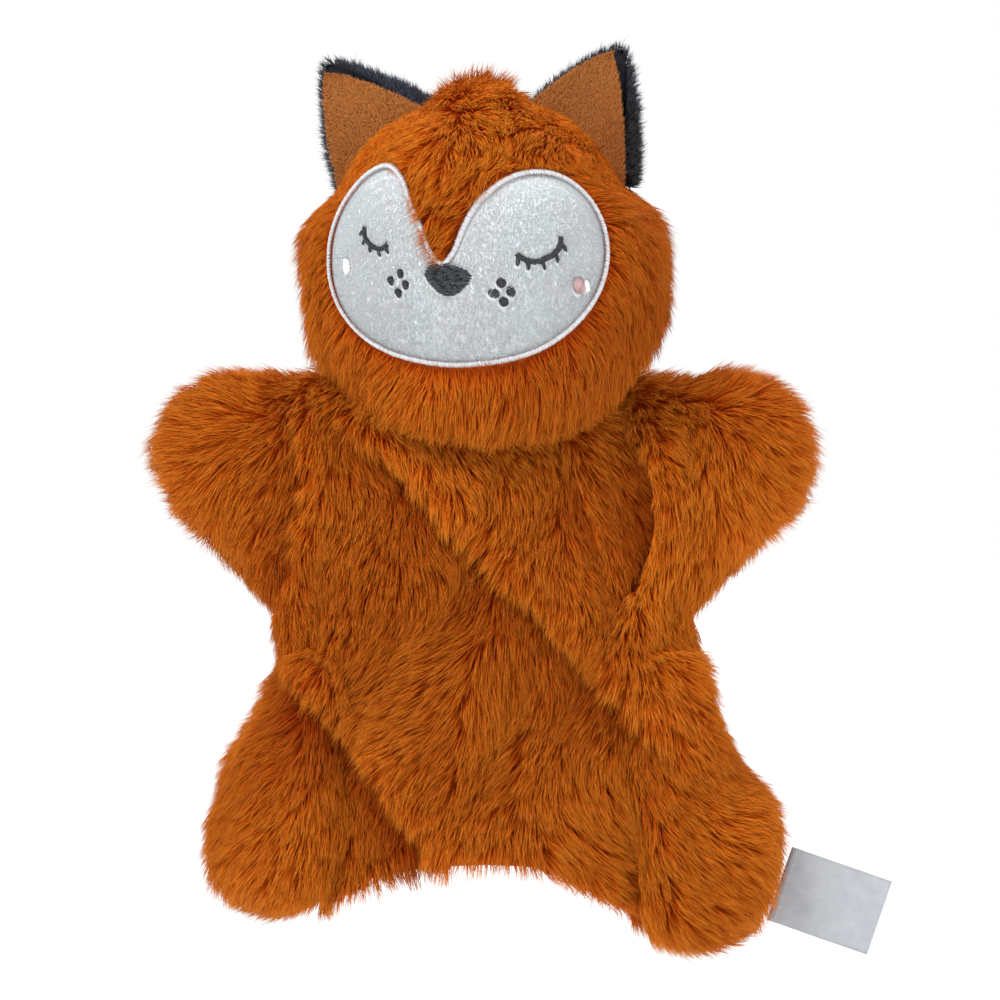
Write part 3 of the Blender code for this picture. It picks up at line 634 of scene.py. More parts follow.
def nearest(points, centres):
    """Index of the centre nearest to each point."""
    tree = KDTree(len(centres))
    for i, centre in enumerate(centres):
        tree.insert(centre, i)
    tree.balance()
    return np.array([tree.find(p)[1] for p in points])


def grow_fur(roots, normals, nap, length, rng, lift, lie=0.66, splay=0.6, gather=0.4, shaded=0.0):
    """Strand paths and shades: they rise from the skin, lie over along the nap and gather in locks; shaded
    is painted shade taken off the shades (negative values paint light).
    """
    n = len(roots)
    nap = nap - normals * np.sum(nap * normals, 1, keepdims=True)
    nap = nap / np.maximum(np.linalg.norm(nap, axis=1, keepdims=True), 0.3)
    side = np.cross(normals, nap)
    swirl = noise_field(roots, 15.0, 11)
    nap = nap + side * (0.6 * swirl[:, 0:1] + 0.2 * rng.normal(size=(n, 1)))
    reach = length * rng.uniform(0.72, 1.12, n)
    rise = lift * (1.0 + 0.30 * swirl[:, 1]) * rng.uniform(0.75, 1.25, n)
    bend = roots + (normals * (0.62 * rise + 0.10)[:, None] + nap * (0.30 * lie)) * reach[:, None]
    tips = roots + (normals * rise[:, None] + nap * lie) * reach[:, None]
    locks = np.zeros(n)
    for spacing, weight in ((11.0, 0.55), (60.0, 0.45)):
        keep = rng.choice(n, size=max(8, int(n / spacing)), replace=False)
        group = keep[nearest(roots, roots[keep])]
        pull = gather * weight * 2.0 * rng.uniform(0.5, 1.2, n)
        offset = tips[group] - roots[group]
        meeting = roots[group] + offset * (reach / np.maximum(reach[group], 1e-6))[:, None]
        tips = tips + (meeting - tips) * pull[:, None]
        bend = bend + (bend[group] - bend) * (0.30 * pull)[:, None]
        locks += weight * rng.normal(size=n)[group]
    tips += rng.normal(size=(n, 3)) * splay
    t = np.linspace(0, 1, STRAND_POINTS)[None, :, None]
    paths = (1 - t) ** 2 * roots[:, None] + 2 * t * (1 - t) * bend[:, None] + t**2 * tips[:, None]
    patches = 0.17 * noise_field(roots, 34.0, 31)[:, 0] + 0.11 * noise_field(roots, 11.0, 57)[:, 0]
    shade = 0.55 + 0.06 * locks + 0.05 * rng.normal(size=n) + patches
    return paths, np.clip(shade - 0.5 * shaded, 0, 1)


def strand_radii(n, width, rng):
    """Radii along each strand, thickest a third of the way up."""
    profile = np.interp(np.linspace(0, 1, STRAND_POINTS), [0, 0.35, 1], [0.85, 1.0, 0.25])
    return 0.5 * width * profile[None] * rng.uniform(0.75, 1.25, n)[:, None]


def fur_pieces(name, paths, shade, width, material, rng, place):
    """Split strands into pieces of moderate size; place says how each piece moves."""
    count = max(1, math.ceil(len(paths) / PIECE_LIMIT))
    for i in range(count):
        part = slice(i, None, count)
        radii = strand_radii(len(paths[part]), width, rng)
        piece = tubes(f"{name}_{i + 1}", paths[part], radii, material, shade[part], rng)
        place(piece)


def body_nap(points):
    """Direction the body's pile lies in: down, outwards and around on arms and legs."""
    x, z = points[:, 0], points[:, 2]
    sign = np.sign(x)
    arm = fade(np.abs(x), 48, 70) * fade(z, 84, 98)
    leg = fade(np.abs(x), 40, 65) * fade(z, 60, 40)
    nap = np.zeros_like(points)
    nap[:, 0] = sign * (0.15 + 0.5 * leg) * fade(np.abs(x), 0, 20)
    nap[:, 2] = -1.0
    spread = np.stack([x - sign * 62.0, 0 * x, z - 118.0], -1) / 26.0
    nap += arm[:, None] * (spread * np.array([1.0, 0, 1.1]) + np.array([0, 0, 0.35]))
    return nap + 0.5 * noise_field(points, 32.0, 77) * np.array([1, 0.3, 1])


def cover_body(skin):
    """Cut the skin into parts and cover each in fur."""
    verts, normals, tris = arrays(skin.data)
    centre = verts[tris].mean(1)
    opening = (np.abs(centre[:, 0]) < OPENING_HALF) & (centre[:, 2] < hem_height(centre[:, 0]))
    tris = tris[~opening]
    centre = centre[~opening]
    rng = rng_for("body")
    weight = np.ones(len(verts))
    weight[verts[:, 2] > 146] = 0.7
    roots, ways = scatter(verts, normals, tris, weight, int(BODY_STRANDS * DENSITY), rng)
    length = 12.0 + 1.5 * noise_field(roots, 20.0, 41)[:, 0]
    nap = body_nap(roots)
    # painted shade below the folds and in the hollow, painted light on their raised sides, on forward-facing
    # strands
    shaded = fold_field(roots)[1] * np.clip(-ways[:, 1] * 2, 0, 1)
    lift = 0.58 - 0.22 * np.clip(shaded, -0.3, 1)
    collar = fade(np.hypot(roots[:, 0], roots[:, 1]), 30, 22) * fade(roots[:, 2], 136, 144)
    length += 5.0 * collar
    lift += 0.45 * collar
    paths, shade = grow_fur(roots, ways, nap, length, rng, lift=lift, shaded=shaded)
    region_of = part_of(roots)
    skin_region = part_of(centre)
    for region in REGIONS:
        picked = skin_region == region
        if not picked.any():
            continue
        name, place = REGIONS[region]
        used, index = np.unique(tris[picked], return_inverse=True)
        piece = mesh_object(name + "_skin", verts[used], index.reshape(-1, 3), MATERIALS["skin"])
        place(piece)
        replace_nodes(piece, region)
        here = region_of == region
        fur_pieces(name + "_fur", paths[here], shade[here], BODY_WIDTH, MATERIALS["fur"], rng, place)
    bpy.data.objects.remove(skin)


def blended():
    """A placing function: the piece's place is baked into its points and it stays there."""

    def place(piece):
        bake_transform(piece)

    return place


def riding(body):
    """A placing function: the piece moves with one body."""

    def place(piece):
        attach(piece, body)

    return place


ARM_SPLIT = 62.0  # where the sleeve's skin ends and the arm's begins
OPENING_HALF = 53.0  # half width of the hand opening
REGIONS = {}


def make_regions():
    """The parts of the skin and how each is placed: the flanks ride with the body, the rest stay where they
    are.
    """
    for side, sign in (("left", -1), ("right", 1)):
        sleeve, arm, leg = side + "_sleeve", side + "_arm", side + "_leg"
        shoulder = blended()
        elbow = blended()
        hip = blended()
        REGIONS[side + "_half"] = (side + "_body", shoulder)
        REGIONS[side + "_flank"] = (side + "_flank", riding("body"))
        REGIONS[arm] = (arm, elbow)
        REGIONS[leg] = (leg, hip)


def part_of(points):
    """Name of the region that each point belongs to."""
    x, z = points[:, 0], points[:, 2]
    across = np.abs(x)
    hip_line = 46.5 + (z + 8) * 10.5 / 66
    upper = np.where(across > ARM_SPLIT, "_arm", "_half")
    kind = np.where((across > hip_line) & (z < 58), "_leg", np.where(z < 84, "_flank", upper))
    return np.char.add(np.where(x < 0, "left", "right"), kind)


def replace_nodes(piece, region):
    """The CAD solids that a part of the skin stands for."""
    side, kind = region.split("_")
    nodes = {
        "half": [f"{side}_sleeve_front_fur", f"{side}_sleeve_back_fur"],
        "flank": ["body_front_fur", "body_back_fur"],
        "arm": [f"{side}_arm_front_fur", f"{side}_arm_back_fur"],
        "leg": [f"{side}_leg_front_fur", f"{side}_leg_back_fur", f"{side}_leg_filling"],
    }[kind]
    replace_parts(piece, *nodes)


# Ears: the two ends of each base and the tip, x and z
EARS = {"left": ((-47.5, 209.5), (-21.5, 233.5), (-49.5, 242.5)),
        "right": ((17.0, 235.5), (45.5, 212.5), (39.0, 249.0))}


def ear_gap(points):
    """Distance, seen from the front, to the nearer ear's base line."""
    flat = points[:, [0, 2]]
    ends = [(np.array(left), np.array(right)) for left, right, _ in EARS.values()]
    return np.minimum(*[np.linalg.norm(segment_gap(flat, a, b), axis=1) for a, b in ends])


def head_shape(points):
    """The head's own unevenness: fuller jowls under the chin, a slimmer upper right side."""
    dent = 3.6 * np.exp(-(ear_gap(points) / 9.0) ** 2)[..., None]
    points = points - dent * unit(points - np.array(HEAD_CENTRE))
    x, y, z = points[:, 0], points[:, 1], points[:, 2]
    ahead = fade(y, HEAD_CENTRE[1], HEAD_CENTRE[1] - 20)
    chin = fade(z, 151.5, 138.5) * ahead * np.clip(1.15 - (x / 46.0) ** 2, 0, 1)
    slim = fade(z, 188, 206) * fade(x, 0, 30)
    cheek = np.exp(-(((z - 173) / 12.0) ** 2)) * fade(x, 0, 40)
    return np.stack([x * (0.985 - 0.075 * slim + 0.02 * cheek), y - 2.0 * chin, z - 6.5 * chin], -1)


def head():
    """Stuffed head: skin, face cut-out in the fur, and the fur itself."""
    azimuth = np.linspace(0, 2 * math.pi, 96, endpoint=False)
    rises = np.linspace(-math.pi / 2, math.pi / 2, 64)
    skin = loft("head_skin", [head_shape(head_point(azimuth, rise)) for rise in rises], MATERIALS["skin"])
    verts, normals, tris = arrays(skin.data)
    rng = rng_for("head")
    outline = face_outline()
    weight = np.ones(len(verts))
    near_neck = np.hypot(verts[:, 0], verts[:, 1]) < 17
    weight[near_neck & (verts[:, 2] < 170)] = 0.0
    roots, ways = scatter(verts, normals, tris, weight, int(HEAD_STRANDS * DENSITY), rng)
    flat = np.stack(face_coordinates(roots), -1)
    front = roots[:, 1] < HEAD_CENTRE[1]
    edge = np.where(front, distance_to(flat, outline), 40.0)
    bare = front & (inside(flat, outline) | (edge < 0.9))
    roots, ways, flat, front, edge = (a[~bare] for a in (roots, ways, flat, front, edge))
    length = head_length(roots, flat, edge)
    nap = head_nap(roots, flat, edge, outline)
    z = roots[:, 2]
    lift = np.where(front & (z < 158), 0.46, 0.60)
    lift = np.where(front & (z > 204), 0.36, lift)
    lift = lift * np.interp(ear_gap(roots), [0, 5, 14], [0.35, 0.5, 1.0])
    lift = lift * np.interp(edge, [1.0, 6.0], [0.85, 1.0])
    # painted shade under the chin, painted light over the front of the crown
    shaded = fade(z, 132, 120) - 0.45 * front * fade(z, 200, 212)
    paths, shade = grow_fur(roots, ways, nap, length, rng, lift=lift, shaded=shaded)
    place = riding("head")
    place(skin)
    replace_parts(skin, "head_front_fur", "head_back_fur", "head_filling")
    fur_pieces("head_fur", paths, shade, HEAD_WIDTH, MATERIALS["fur"], rng, place)


def head_length(roots, flat, edge):
    """Pile length on the head: short beside the face, long at the crown and chin."""
    length = np.interp(edge, [0, 3, 10, 20], [6.5, 8.5, 10.8, 11.5])
    length *= np.interp(ear_gap(roots), [0, 4, 14], [0.5, 0.6, 1.0])
    length += np.where(roots[:, 1] < 0, 1.8, 4.0) * fade(roots[:, 2], 160, 150)
    forelock = (np.abs(flat[:, 0]) < 14) & (flat[:, 1] > 184) & (roots[:, 1] < -20)
    return np.where(forelock, np.maximum(length, 8.5), length)


def head_nap(roots, flat, edge, outline):
    """Pile direction on the head: forwards over the crown, down the brow, outwards at the cheeks."""
    front = roots[:, 1] < HEAD_CENTRE[1]
    nap = np.zeros_like(roots)
    nap[:, 2] = -1.0
    crown = fade(roots[:, 2], 205, 220)
    nap[:, 1] = -1.6 * fade(roots[:, 1], 10, -4) * crown
    nap[:, 0] = (0.9 + 1.2 * fade(roots[:, 2], 200, 220)) * roots[:, 0] / HEAD_HALF_WIDTH
    nap[:, 0] += 1.8 * (crown * front) * noise_field(roots, 16.0, 92)[:, 0]
    steps = np.array([[0.5, 0.0], [0.0, 0.5]])
    across, up = (distance_to(flat + step, outline) - distance_to(flat - step, outline) for step in steps)
    away = np.stack([across, np.zeros(len(flat)), up], -1)
    close = np.clip(1.0 - edge / 12.0, 0, 1) * front
    in_v = (np.abs(flat[:, 0]) < 18) & (flat[:, 1] > 180) & (flat[:, 1] < 210)
    close = np.where(in_v, np.where(flat[:, 0] < 2.0, -0.15, 0.25) * close, close)
    return nap + away * (1.9 * close)[:, None] + 0.30 * noise_field(roots, 26.0, 91)


# ---------------------------------------------------------------- face


def face_applique():
    """The pale plush face: a thin padded panel and its short pile."""
    outline = face_outline(4)
    top, under = [], []
    for share in np.linspace(0.0, 1.0, 14)[1:]:
        loop = FACE_MIDDLE + share * (outline - FACE_MIDDLE)
        swell = FACE_SWELL * (1 - share**3)
        top.append(face_point(loop[:, 0], loop[:, 1], FACE_LIFT + APPLIQUE + swell))
        under.append(face_point(loop[:, 0], loop[:, 1], FACE_LIFT - 0.6))
    panel = loft("face_panel", top + under[::-1], MATERIALS["pale_cloth"])
    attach(panel, "head")
    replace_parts(panel, "face_applique")
    rng = rng_for("applique")
    flat = rng.uniform(outline.min(0), outline.max(0), size=(int(FACE_STRANDS * DENSITY), 2))
    ahead = flat[:, 0] / MM_PER_DEGREE + FACE_AZIMUTH
    even = np.where(np.abs(ahead) < 20, 20 * power(ahead / 20, 1 / SQUARENESS), ahead)
    flat[:, 0] = (even - FACE_AZIMUTH) * MM_PER_DEGREE
    flat = flat[inside(flat, outline)]
    flat = flat[distance_to(flat, face_outline()) > 0.5]
    threads = np.concatenate(THREAD_PLACES)
    close = threads[nearest(np.pad(flat, ((0, 0), (0, 1))), np.pad(threads, ((0, 0), (0, 1))))]
    flat = flat[np.linalg.norm(flat - close, axis=1) > 0.42]
    swell = FACE_SWELL * (1 - np.clip(share_of(flat, outline), 0, 1) ** 3)
    base = FACE_LIFT + APPLIQUE - 0.1 + swell
    roots = face_point(flat[:, 0], flat[:, 1], base)
    ways = unit(face_point(flat[:, 0], flat[:, 1], base + 1.0) - roots)
    nap = np.array([0, 0, -1.0]) + 0.08 * noise_field(roots, 14.0, 17)
    nap = unit(nap - ways * np.sum(nap * ways, 1, keepdims=True))
    n = len(roots)
    reach = rng.uniform(0.7, 1.1, n)[:, None]
    bend = roots + ways * 0.26 * reach + nap * 0.2 * reach
    tips = roots + ways * 0.28 * reach + nap * 0.9 * reach + 0.025 * rng.normal(size=(n, 3))
    paths = np.stack([roots, bend, tips], 1)
    shade = np.clip(0.5 + 0.14 * rng.normal(size=n) + 0.12 * noise_field(roots, 12.0, 23)[:, 0], 0, 1)
    count = math.ceil(n / FACE_PIECE_LIMIT)
    for i in range(count):
        part = slice(i, None, count)
        radii = np.tile([0.08, 0.085, 0.03], (len(paths[part]), 1))
        piece = tubes(f"face_pile_{i + 1}", paths[part], radii, MATERIALS["pale_pile"], shade[part], rng)
        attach(piece, "head")


def share_of(flat, outline):
    """Roughly how far out each point lies between the face's middle and its outline."""
    away, edge = flat - FACE_MIDDLE, outline - FACE_MIDDLE
    angle, edge_angle = (np.arctan2(part[:, 1], part[:, 0]) for part in (away, edge))
    order = np.argsort(edge_angle)
    reach = np.interp(angle, edge_angle[order], np.linalg.norm(edge, axis=1)[order], period=2 * math.pi)
    return np.linalg.norm(away, axis=1) / reach


THREAD_PLACES = []  # where thread lies on the face, so that no pile grows through it


def stitches(name, starts, ends, arch, thread, lift=THREAD_LIFT, radius=0.17, jitter=0.06):
    """Satin stitches from starts to ends (face coordinates), each arched over the cloth."""
    rng = rng_for(name)
    n = len(starts)
    t = np.linspace(0, 1, 7)
    starts = starts + jitter * rng.normal(size=(n, 2))
    ends = ends + jitter * rng.normal(size=(n, 2))
    flat = starts[:, None] * (1 - t)[None, :, None] + ends[:, None] * t[None, :, None]
    THREAD_PLACES.append(flat.reshape(-1, 2))
    height = lift - 0.3 + (arch + 0.3) * np.sin(math.pi * t) ** 0.6
    height = height[None] + 0.03 * rng.normal(size=(n, 1))
    paths = face_point(flat[..., 0], flat[..., 1], height)
    taper = np.interp(t, [0, 0.2, 0.8, 1], [0.5, 1, 1, 0.5])
    radii = radius * taper[None] * rng.uniform(0.9, 1.15, n)[:, None]
    first = flat[:, :1, 0], flat[:, :1, 1]
    ups = unit(face_point(*first, 6.0) - face_point(*first, 0.0))
    piece = tubes(name, paths, radii, MATERIALS[thread], rng.random(n), rng, sides=5, pointed=False, ups=ups)
    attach(piece, "head")
    return piece


def travel(line):
    """How far along a line each of its points is."""
    return np.concatenate([[0], np.cumsum(np.linalg.norm(np.diff(line, axis=0), axis=1))])


def points_on(line, places):
    """Points of a line at distances along it."""
    return np.stack([np.interp(places, travel(line), line[:, i]) for i in range(2)], -1)


def split_long(starts, ends, longest, rng):
    """Break long stitches into several, as a filled area is sewn."""
    new_starts, new_ends = [], []
    for a, b in zip(starts, ends):
        reach = np.linalg.norm(b - a)
        pieces = max(1, math.ceil(reach / longest))
        marks = np.linspace(0, 1, pieces + 1)
        marks[1:-1] += rng.uniform(-0.3, 0.3, pieces - 1) / pieces
        for low, high in zip(marks, marks[1:]):
            new_starts.append(a + (b - a) * low)
            new_ends.append(a + (b - a) * high)
    return np.array(new_starts), np.array(new_ends)


def scanlines(outline, angle, pitch):
    """Where parallel lines at an angle enter and leave a closed outline."""
    turn = np.array([[math.cos(angle), math.sin(angle)], [-math.sin(angle), math.cos(angle)]])
    middle = outline.mean(0)
    flat = (outline - middle) @ turn.T
    starts, ends = [], []
    for y in np.arange(flat[:, 1].min() + 0.5 * pitch, flat[:, 1].max(), pitch):
        crossings = []
        for a, b in zip(flat, np.roll(flat, -1, axis=0)):
            if (a[1] > y) != (b[1] > y):
                crossings.append(a[0] + (y - a[1]) / (b[1] - a[1]) * (b[0] - a[0]))
        crossings.sort()
        for low, high in zip(crossings[::2], crossings[1::2]):
            starts.append((low, y))
            ends.append((high, y))
    return np.array(starts) @ turn + middle, np.array(ends) @ turn + middle


def face_border():
    """White satin stitch over the panel's edge, each stitch square to the outline."""
    loop = face_outline(60)
    loop = np.vstack([loop, loop[:1]])
    total = travel(loop)[-1]
    places = np.arange(0, total, 0.27)
    points, ahead, behind = (points_on(loop, (places + shift) % total) for shift in (0, 0.6, -0.6))
    along = unit(ahead - behind)
    normal = np.stack([along[:, 1], -along[:, 0]], -1)
    piece = stitches("face_border_stitches", points - 0.6 * normal, points + 0.95 * normal, 0.3, "satin",
                     lift=THREAD_LIFT + 0.2)
    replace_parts(piece, "face_border")


NOSE = [
    (-4.9, 178.6), (-3.5, 180.9), (-0.8, 181.8), (1.6, 181.9), (4.1, 181.2), (5.9, 180.2), (6.9, 178.4),
    (6.0, 176.2), (4.4, 173.9), (2.6, 172.5), (0.9, 172.2), (-0.7, 172.7), (-2.6, 174.4), (-4.2, 176.3)]

# Each eye: the line of the lid, the lashes from lid to tip, half the line's width
EYES = {
    "left": (
        [(-25.4, 190.9), (-25.5, 189.0), (-24.8, 187.3), (-23.0, 185.6), (-20.5, 184.6), (-18.2, 184.9),
         (-16.5, 186.3)],
        [((-25.6, 189.4), (-27.8, 187.9)), ((-24.6, 187.0), (-26.1, 185.0)),
         ((-22.3, 185.2), (-23.0, 182.9)), ((-19.4, 184.8), (-19.2, 181.8)),
         ((-16.9, 185.8), (-16.2, 182.9))], 0.66),
    "right": (
        [(16.1, 186.2), (16.9, 185.3), (18.5, 184.6), (20.2, 184.3), (22.0, 184.7), (23.8, 185.8),
         (25.6, 186.9), (27.2, 188.7), (28.0, 190.3), (28.1, 192.6)],
        [((16.3, 186.4), (15.9, 182.2)), ((18.4, 184.8), (18.8, 181.2)), ((22.4, 184.9), (23.5, 181.8)),
         ((26.3, 187.2), (27.3, 184.3)), ((28.2, 190.4), (30.2, 188.2))], 0.78),
}
# Freckles: their centres, and how wide and high each is
FRECKLES = {
    "left": ([(-12.3, 177.8), (-10.7, 174.5), (-13.0, 171.9), (-15.3, 175.4)], (1.05, 1.4)),
    "right": ([(12.3, 177.3), (14.5, 174.9), (12.9, 171.7), (10.8, 174.0)], (1.15, 1.45)),
}


def nose():
    starts, ends = scanlines(catmull(NOSE, 6), math.radians(9), 0.2)
    starts, ends = split_long(starts, ends, 3.6, rng_for("nose_fill"))
    piece = stitches("nose_stitches", starts, ends, 0.45, "charcoal", lift=THREAD_LIFT + 0.2, radius=0.16,
                     jitter=0.12)
    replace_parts(piece, "nose")


def eye(side):
    """A closed lid of satin stitches with five lashes."""
    line, lashes, half = EYES[side]
    line = np.array(line)
    middle = points_on(line, np.arange(0, travel(line)[-1], 0.2))
    along = unit(np.gradient(middle, axis=0))
    normal = np.stack([-along[:, 1], along[:, 0]], -1)
    starts, ends = [middle - normal * half - 0.15 * along], [middle + normal * half + 0.15 * along]
    for base, tip in lashes:
        base, tip = np.array(base), np.array(tip)
        down = unit(tip - base)
        across = np.array([-down[1], down[0]])
        for shift in (-0.56, -0.3, 0.0, 0.3, 0.56):
            starts.append((base + across * shift)[None])
            ends.append((tip + across * shift * 0.6 - down * (0.3 + abs(shift) * 0.8))[None])
    piece = stitches(side + "_eye_stitches", np.concatenate(starts), np.concatenate(ends), 0.42, "black",
                     jitter=0.07)
    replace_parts(piece, side + "_eye")


def spot(name, centre, radii, thread, angle):
    """A small satin-stitched oval."""
    a = np.linspace(0, 2 * math.pi, 36, endpoint=False)
    outline = np.stack([centre[0] + radii[0] * np.cos(a), centre[1] + radii[1] * np.sin(a)], -1)
    starts, ends = scanlines(outline, angle, 0.22)
    return stitches(name, starts, ends, 0.5, thread)


def face():
    face_border()
    nose()
    for side, (centres, radii) in FRECKLES.items():
        eye(side)
        for i, centre in enumerate(centres):
            name = f"{side}_freckle_{i + 1}"
            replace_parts(spot(name + "_stitches", centre, radii, "black", 0.3 * (i + 1)), name)
    # the left cheek spot is all bright thread: a painted highlight standing for the satin's shine
    piece = spot("left_cheek_stitches", (-33.0, 178.4), (1.8, 2.3), "shine", 0.2)
    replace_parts(piece, "left_cheek_spot")
    piece = spot("right_cheek_stitches", (34.0, 178.8), (2.1, 2.5), "pink", 1.2)
    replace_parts(piece, "right_cheek_spot")
    # a painted highlight: bright thread over the right side of the pink spot
    spot("right_cheek_glint", (36.5, 178.9), (1.0, 1.9), "shine", 1.2)
    face_applique()


# ---------------------------------------------------------------- ears


EAR_BACK_SHIFT = {"left": (0.8, 2.8), "right": (3.2, 0.6)}  # how far the black layer shows past the tan one
EAR_CUP = 2.0  # how far an ear's sides come forwards


def ear_form(side, layer):
    """Middle and direction of the base, half its width, and the axis of one layer of an ear."""
    left, right, tip = (np.array(p) for p in EARS[side])
    along = (right - left) / np.linalg.norm(right - left)
    out = np.array([-along[1], along[0]])
    base = 0.5 * (left + right) - out * 7.0
    if layer == "back":
        base = base + np.array(EAR_BACK_SHIFT[side]) * 0.8
        tip = tip + np.array(EAR_BACK_SHIFT[side])
    half = 0.5 * np.linalg.norm(right - left) + 1.0
    return base, along, half, tip - base


def ear_surface(side, layer, u, v, y, thick):
    """Points of one face of an ear layer; the ear is cupped forwards at its sides."""
    base, along, half, axis = ear_form(side, layer)
    width = half * (1.0 - v**1.15) ** 0.86
    point = base + axis * v[..., None] + along * (u * width)[..., None]
    crown = (1.0 - u**4) * (1.0 - v**4)
    depth = y + thick * (0.25 + 0.75 * crown) - EAR_CUP * u * u * (1 - 0.4 * v)
    return np.stack([point[..., 0], depth, point[..., 1]], -1)


def ear_plate(side, layer, y, half_thick, material):
    """One cloth layer of an ear, a closed solid with a rim."""
    u, v = np.meshgrid(np.linspace(-1, 1, 25), np.linspace(0, 1, 20))
    front = ear_surface(side, layer, u, v, y, -half_thick)
    back = ear_surface(side, layer, u, v, y, half_thick)
    rows, columns = u.shape
    faces = [list(f) for f in grid_faces(rows, columns, False)]
    faces += [[i + rows * columns for i in f][::-1] for f in grid_faces(rows, columns, False)]
    rim = list(range(columns)) + [r * columns + columns - 1 for r in range(1, rows)]
    rim += list(range(rows * columns - 2, (rows - 1) * columns - 1, -1))
    rim += [r * columns for r in range(rows - 2, 0, -1)]
    for a, b in zip(rim, rim[1:] + rim[:1]):
        faces.append([a, b, b + rows * columns, a + rows * columns])
    verts = np.concatenate([front.reshape(-1, 3), back.reshape(-1, 3)])
    obj = clean(mesh_object(f"{side}_ear_{layer}_cloth", verts, faces, material), 0.05)
    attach(obj, side + "_ear")
    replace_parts(obj, f"{side}_ear_{layer}")


def ear_fur(side, layer, y, half_thick, count, length, width, material, facing, lift, gather):
    """Pile on one face of an ear; the black layer's also stands out past its edge."""
    rng = rng_for(side + layer)
    count = int(count * DENSITY)
    u = rng.uniform(-1, 1, count)
    v = 1 - np.sqrt(rng.random(count) * 0.98)
    if layer == "back":
        near_rim = rng.random(count) < 0.5
        u = np.where(near_rim, np.sign(u) * (1 - 0.3 * rng.random(count)), u)
        facing = np.where(near_rim & (rng.random(count) < 0.6), -facing, facing)
    facing = np.broadcast_to(facing, count)
    step = 0.02
    roots = ear_surface(side, layer, u, v, y, facing * half_thick)
    du = ear_surface(side, layer, u + step, v, y, facing * half_thick) - roots
    dv = ear_surface(side, layer, u, np.maximum(v - step, 0), y, facing * half_thick) - roots
    ways = unit(np.cross(du, dv))
    ways *= np.sign(ways[:, 1] * facing + 1e-9)[:, None]
    _, along, _, axis = ear_form(side, layer)
    up = np.array([axis[0], 0, axis[1]]) / np.linalg.norm(axis)
    across = np.array([along[0], 0, along[1]])
    edge = np.abs(u) ** 3
    nap = up[None] + across[None] * (np.sign(u) * edge * 0.8)[:, None]
    if layer == "back":
        ways = unit(ways + across[None] * (np.sign(u) * edge * 1.3)[:, None] + up[None] * (v**4)[:, None])
    lengths = length * rng.uniform(0.8, 1.15, count)
    paths, shade = grow_fur(roots, ways, nap, lengths, rng, lift=lift, gather=gather, splay=0.1 * length)
    fur_pieces(f"{side}_ear_{layer}_pile", paths, shade, width, material, rng, riding(side + "_ear"))


def ears():
    """A tan layer in front and a black one behind, each with its pile."""
    y = HEAD_CENTRE[1]
    front, back = y - 2.0, y + 1.6
    tan, black = MATERIALS["tan_pile"], MATERIALS["black_pile"]
    for side in ("left", "right"):
        ear_plate(side, "front", front, 1.5, MATERIALS["tan_cloth"])
        ear_plate(side, "back", back, 1.6, MATERIALS["black_cloth"])
        ear_fur(side, "front", front, 1.5, TAN_STRANDS, 1.7, TAN_WIDTH, tan, -1, 0.45, 0.06)
        ear_fur(side, "back", back, 1.6, BLACK_STRANDS, 5.0, BLACK_WIDTH, black, 1, 0.5, 0.3)


# ---------------------------------------------------------------- label and inside


def label():
    """The folded ribbon: two layers with a rounded fold, gently waved."""
    joint = next(j for j in FRAME["joints"] if j["name"] == "label_flap")
    root = np.array(joint["pos_m"]) / MM + np.array([0, 0, -1.5])
    along = -np.array(joint["axis"])
    out = np.array([along[2], 0.0, -along[0]])
    forwards = np.array([0, -1, 0])
    length, half_width, gap, thick = 32.5, 11.9, 0.30, 0.32
    inner = [(0.0, gap), (0.5 * length, gap + 0.25), (length - 1.2, gap)]
    turns = np.linspace(0.3, math.pi - 0.3, 7)
    turn = [(length - 0.6 + 0.6 * math.sin(a), gap * math.cos(a)) for a in turns]
    path = inner + turn + [(d, -w) for d, w in inner[::-1]]
    fine = []
    for (d0, w0), (d1, w1) in zip(path, path[1:]):
        steps = max(1, int(abs(d1 - d0) / 1.5))
        fine += [(d0 + (d1 - d0) * s / steps, w0 + (w1 - w0) * s / steps) for s in range(steps)]
    fine = np.array(fine + [path[-1]])
    tangent = unit(np.gradient(fine, axis=0))
    normal = np.stack([-tangent[:, 1], tangent[:, 0]], -1)
    across = np.linspace(-half_width, half_width, 17)
    grids = []
    for side in (0.5, -0.5):
        layer = fine + normal * thick * side
        far, height = layer[:, 0:1], layer[:, 1:2]
        rows = []
        for a in across:
            wave = 0.5 * np.sin(far / 9.0 + a / 14.0) * np.clip(far / 12.0, 0, 1)
            rows.append(root + along * a + out * far + forwards * (height + wave))
        grids.append(np.stack(rows, 1))
    loops = np.concatenate([grids[0], grids[1][:, ::-1]], axis=1)
    obj = loft("side_label_ribbon", loops, MATERIALS["label"])
    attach(obj, "side_label")
    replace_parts(obj, "side_label")
    rng = rng_for("label")
    t = np.linspace(0, 1, 6)
    rise = forwards * (gap + thick * 0.5 + 0.12 * np.sin(math.pi * t))[:, None]
    places = np.arange(-half_width + 1.0, half_width - 0.6, 1.7)
    paths = np.array([root + along * (d + 1.1 * t)[:, None] + out * 2.0 + rise for d in places])
    radii = np.full(paths.shape[:2], 0.14)
    shade = rng.random(len(paths))
    seam = tubes("label_seam_stitches", paths, radii, MATERIALS["satin"], shade, rng, sides=6, pointed=False)
    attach(seam, "side_label")


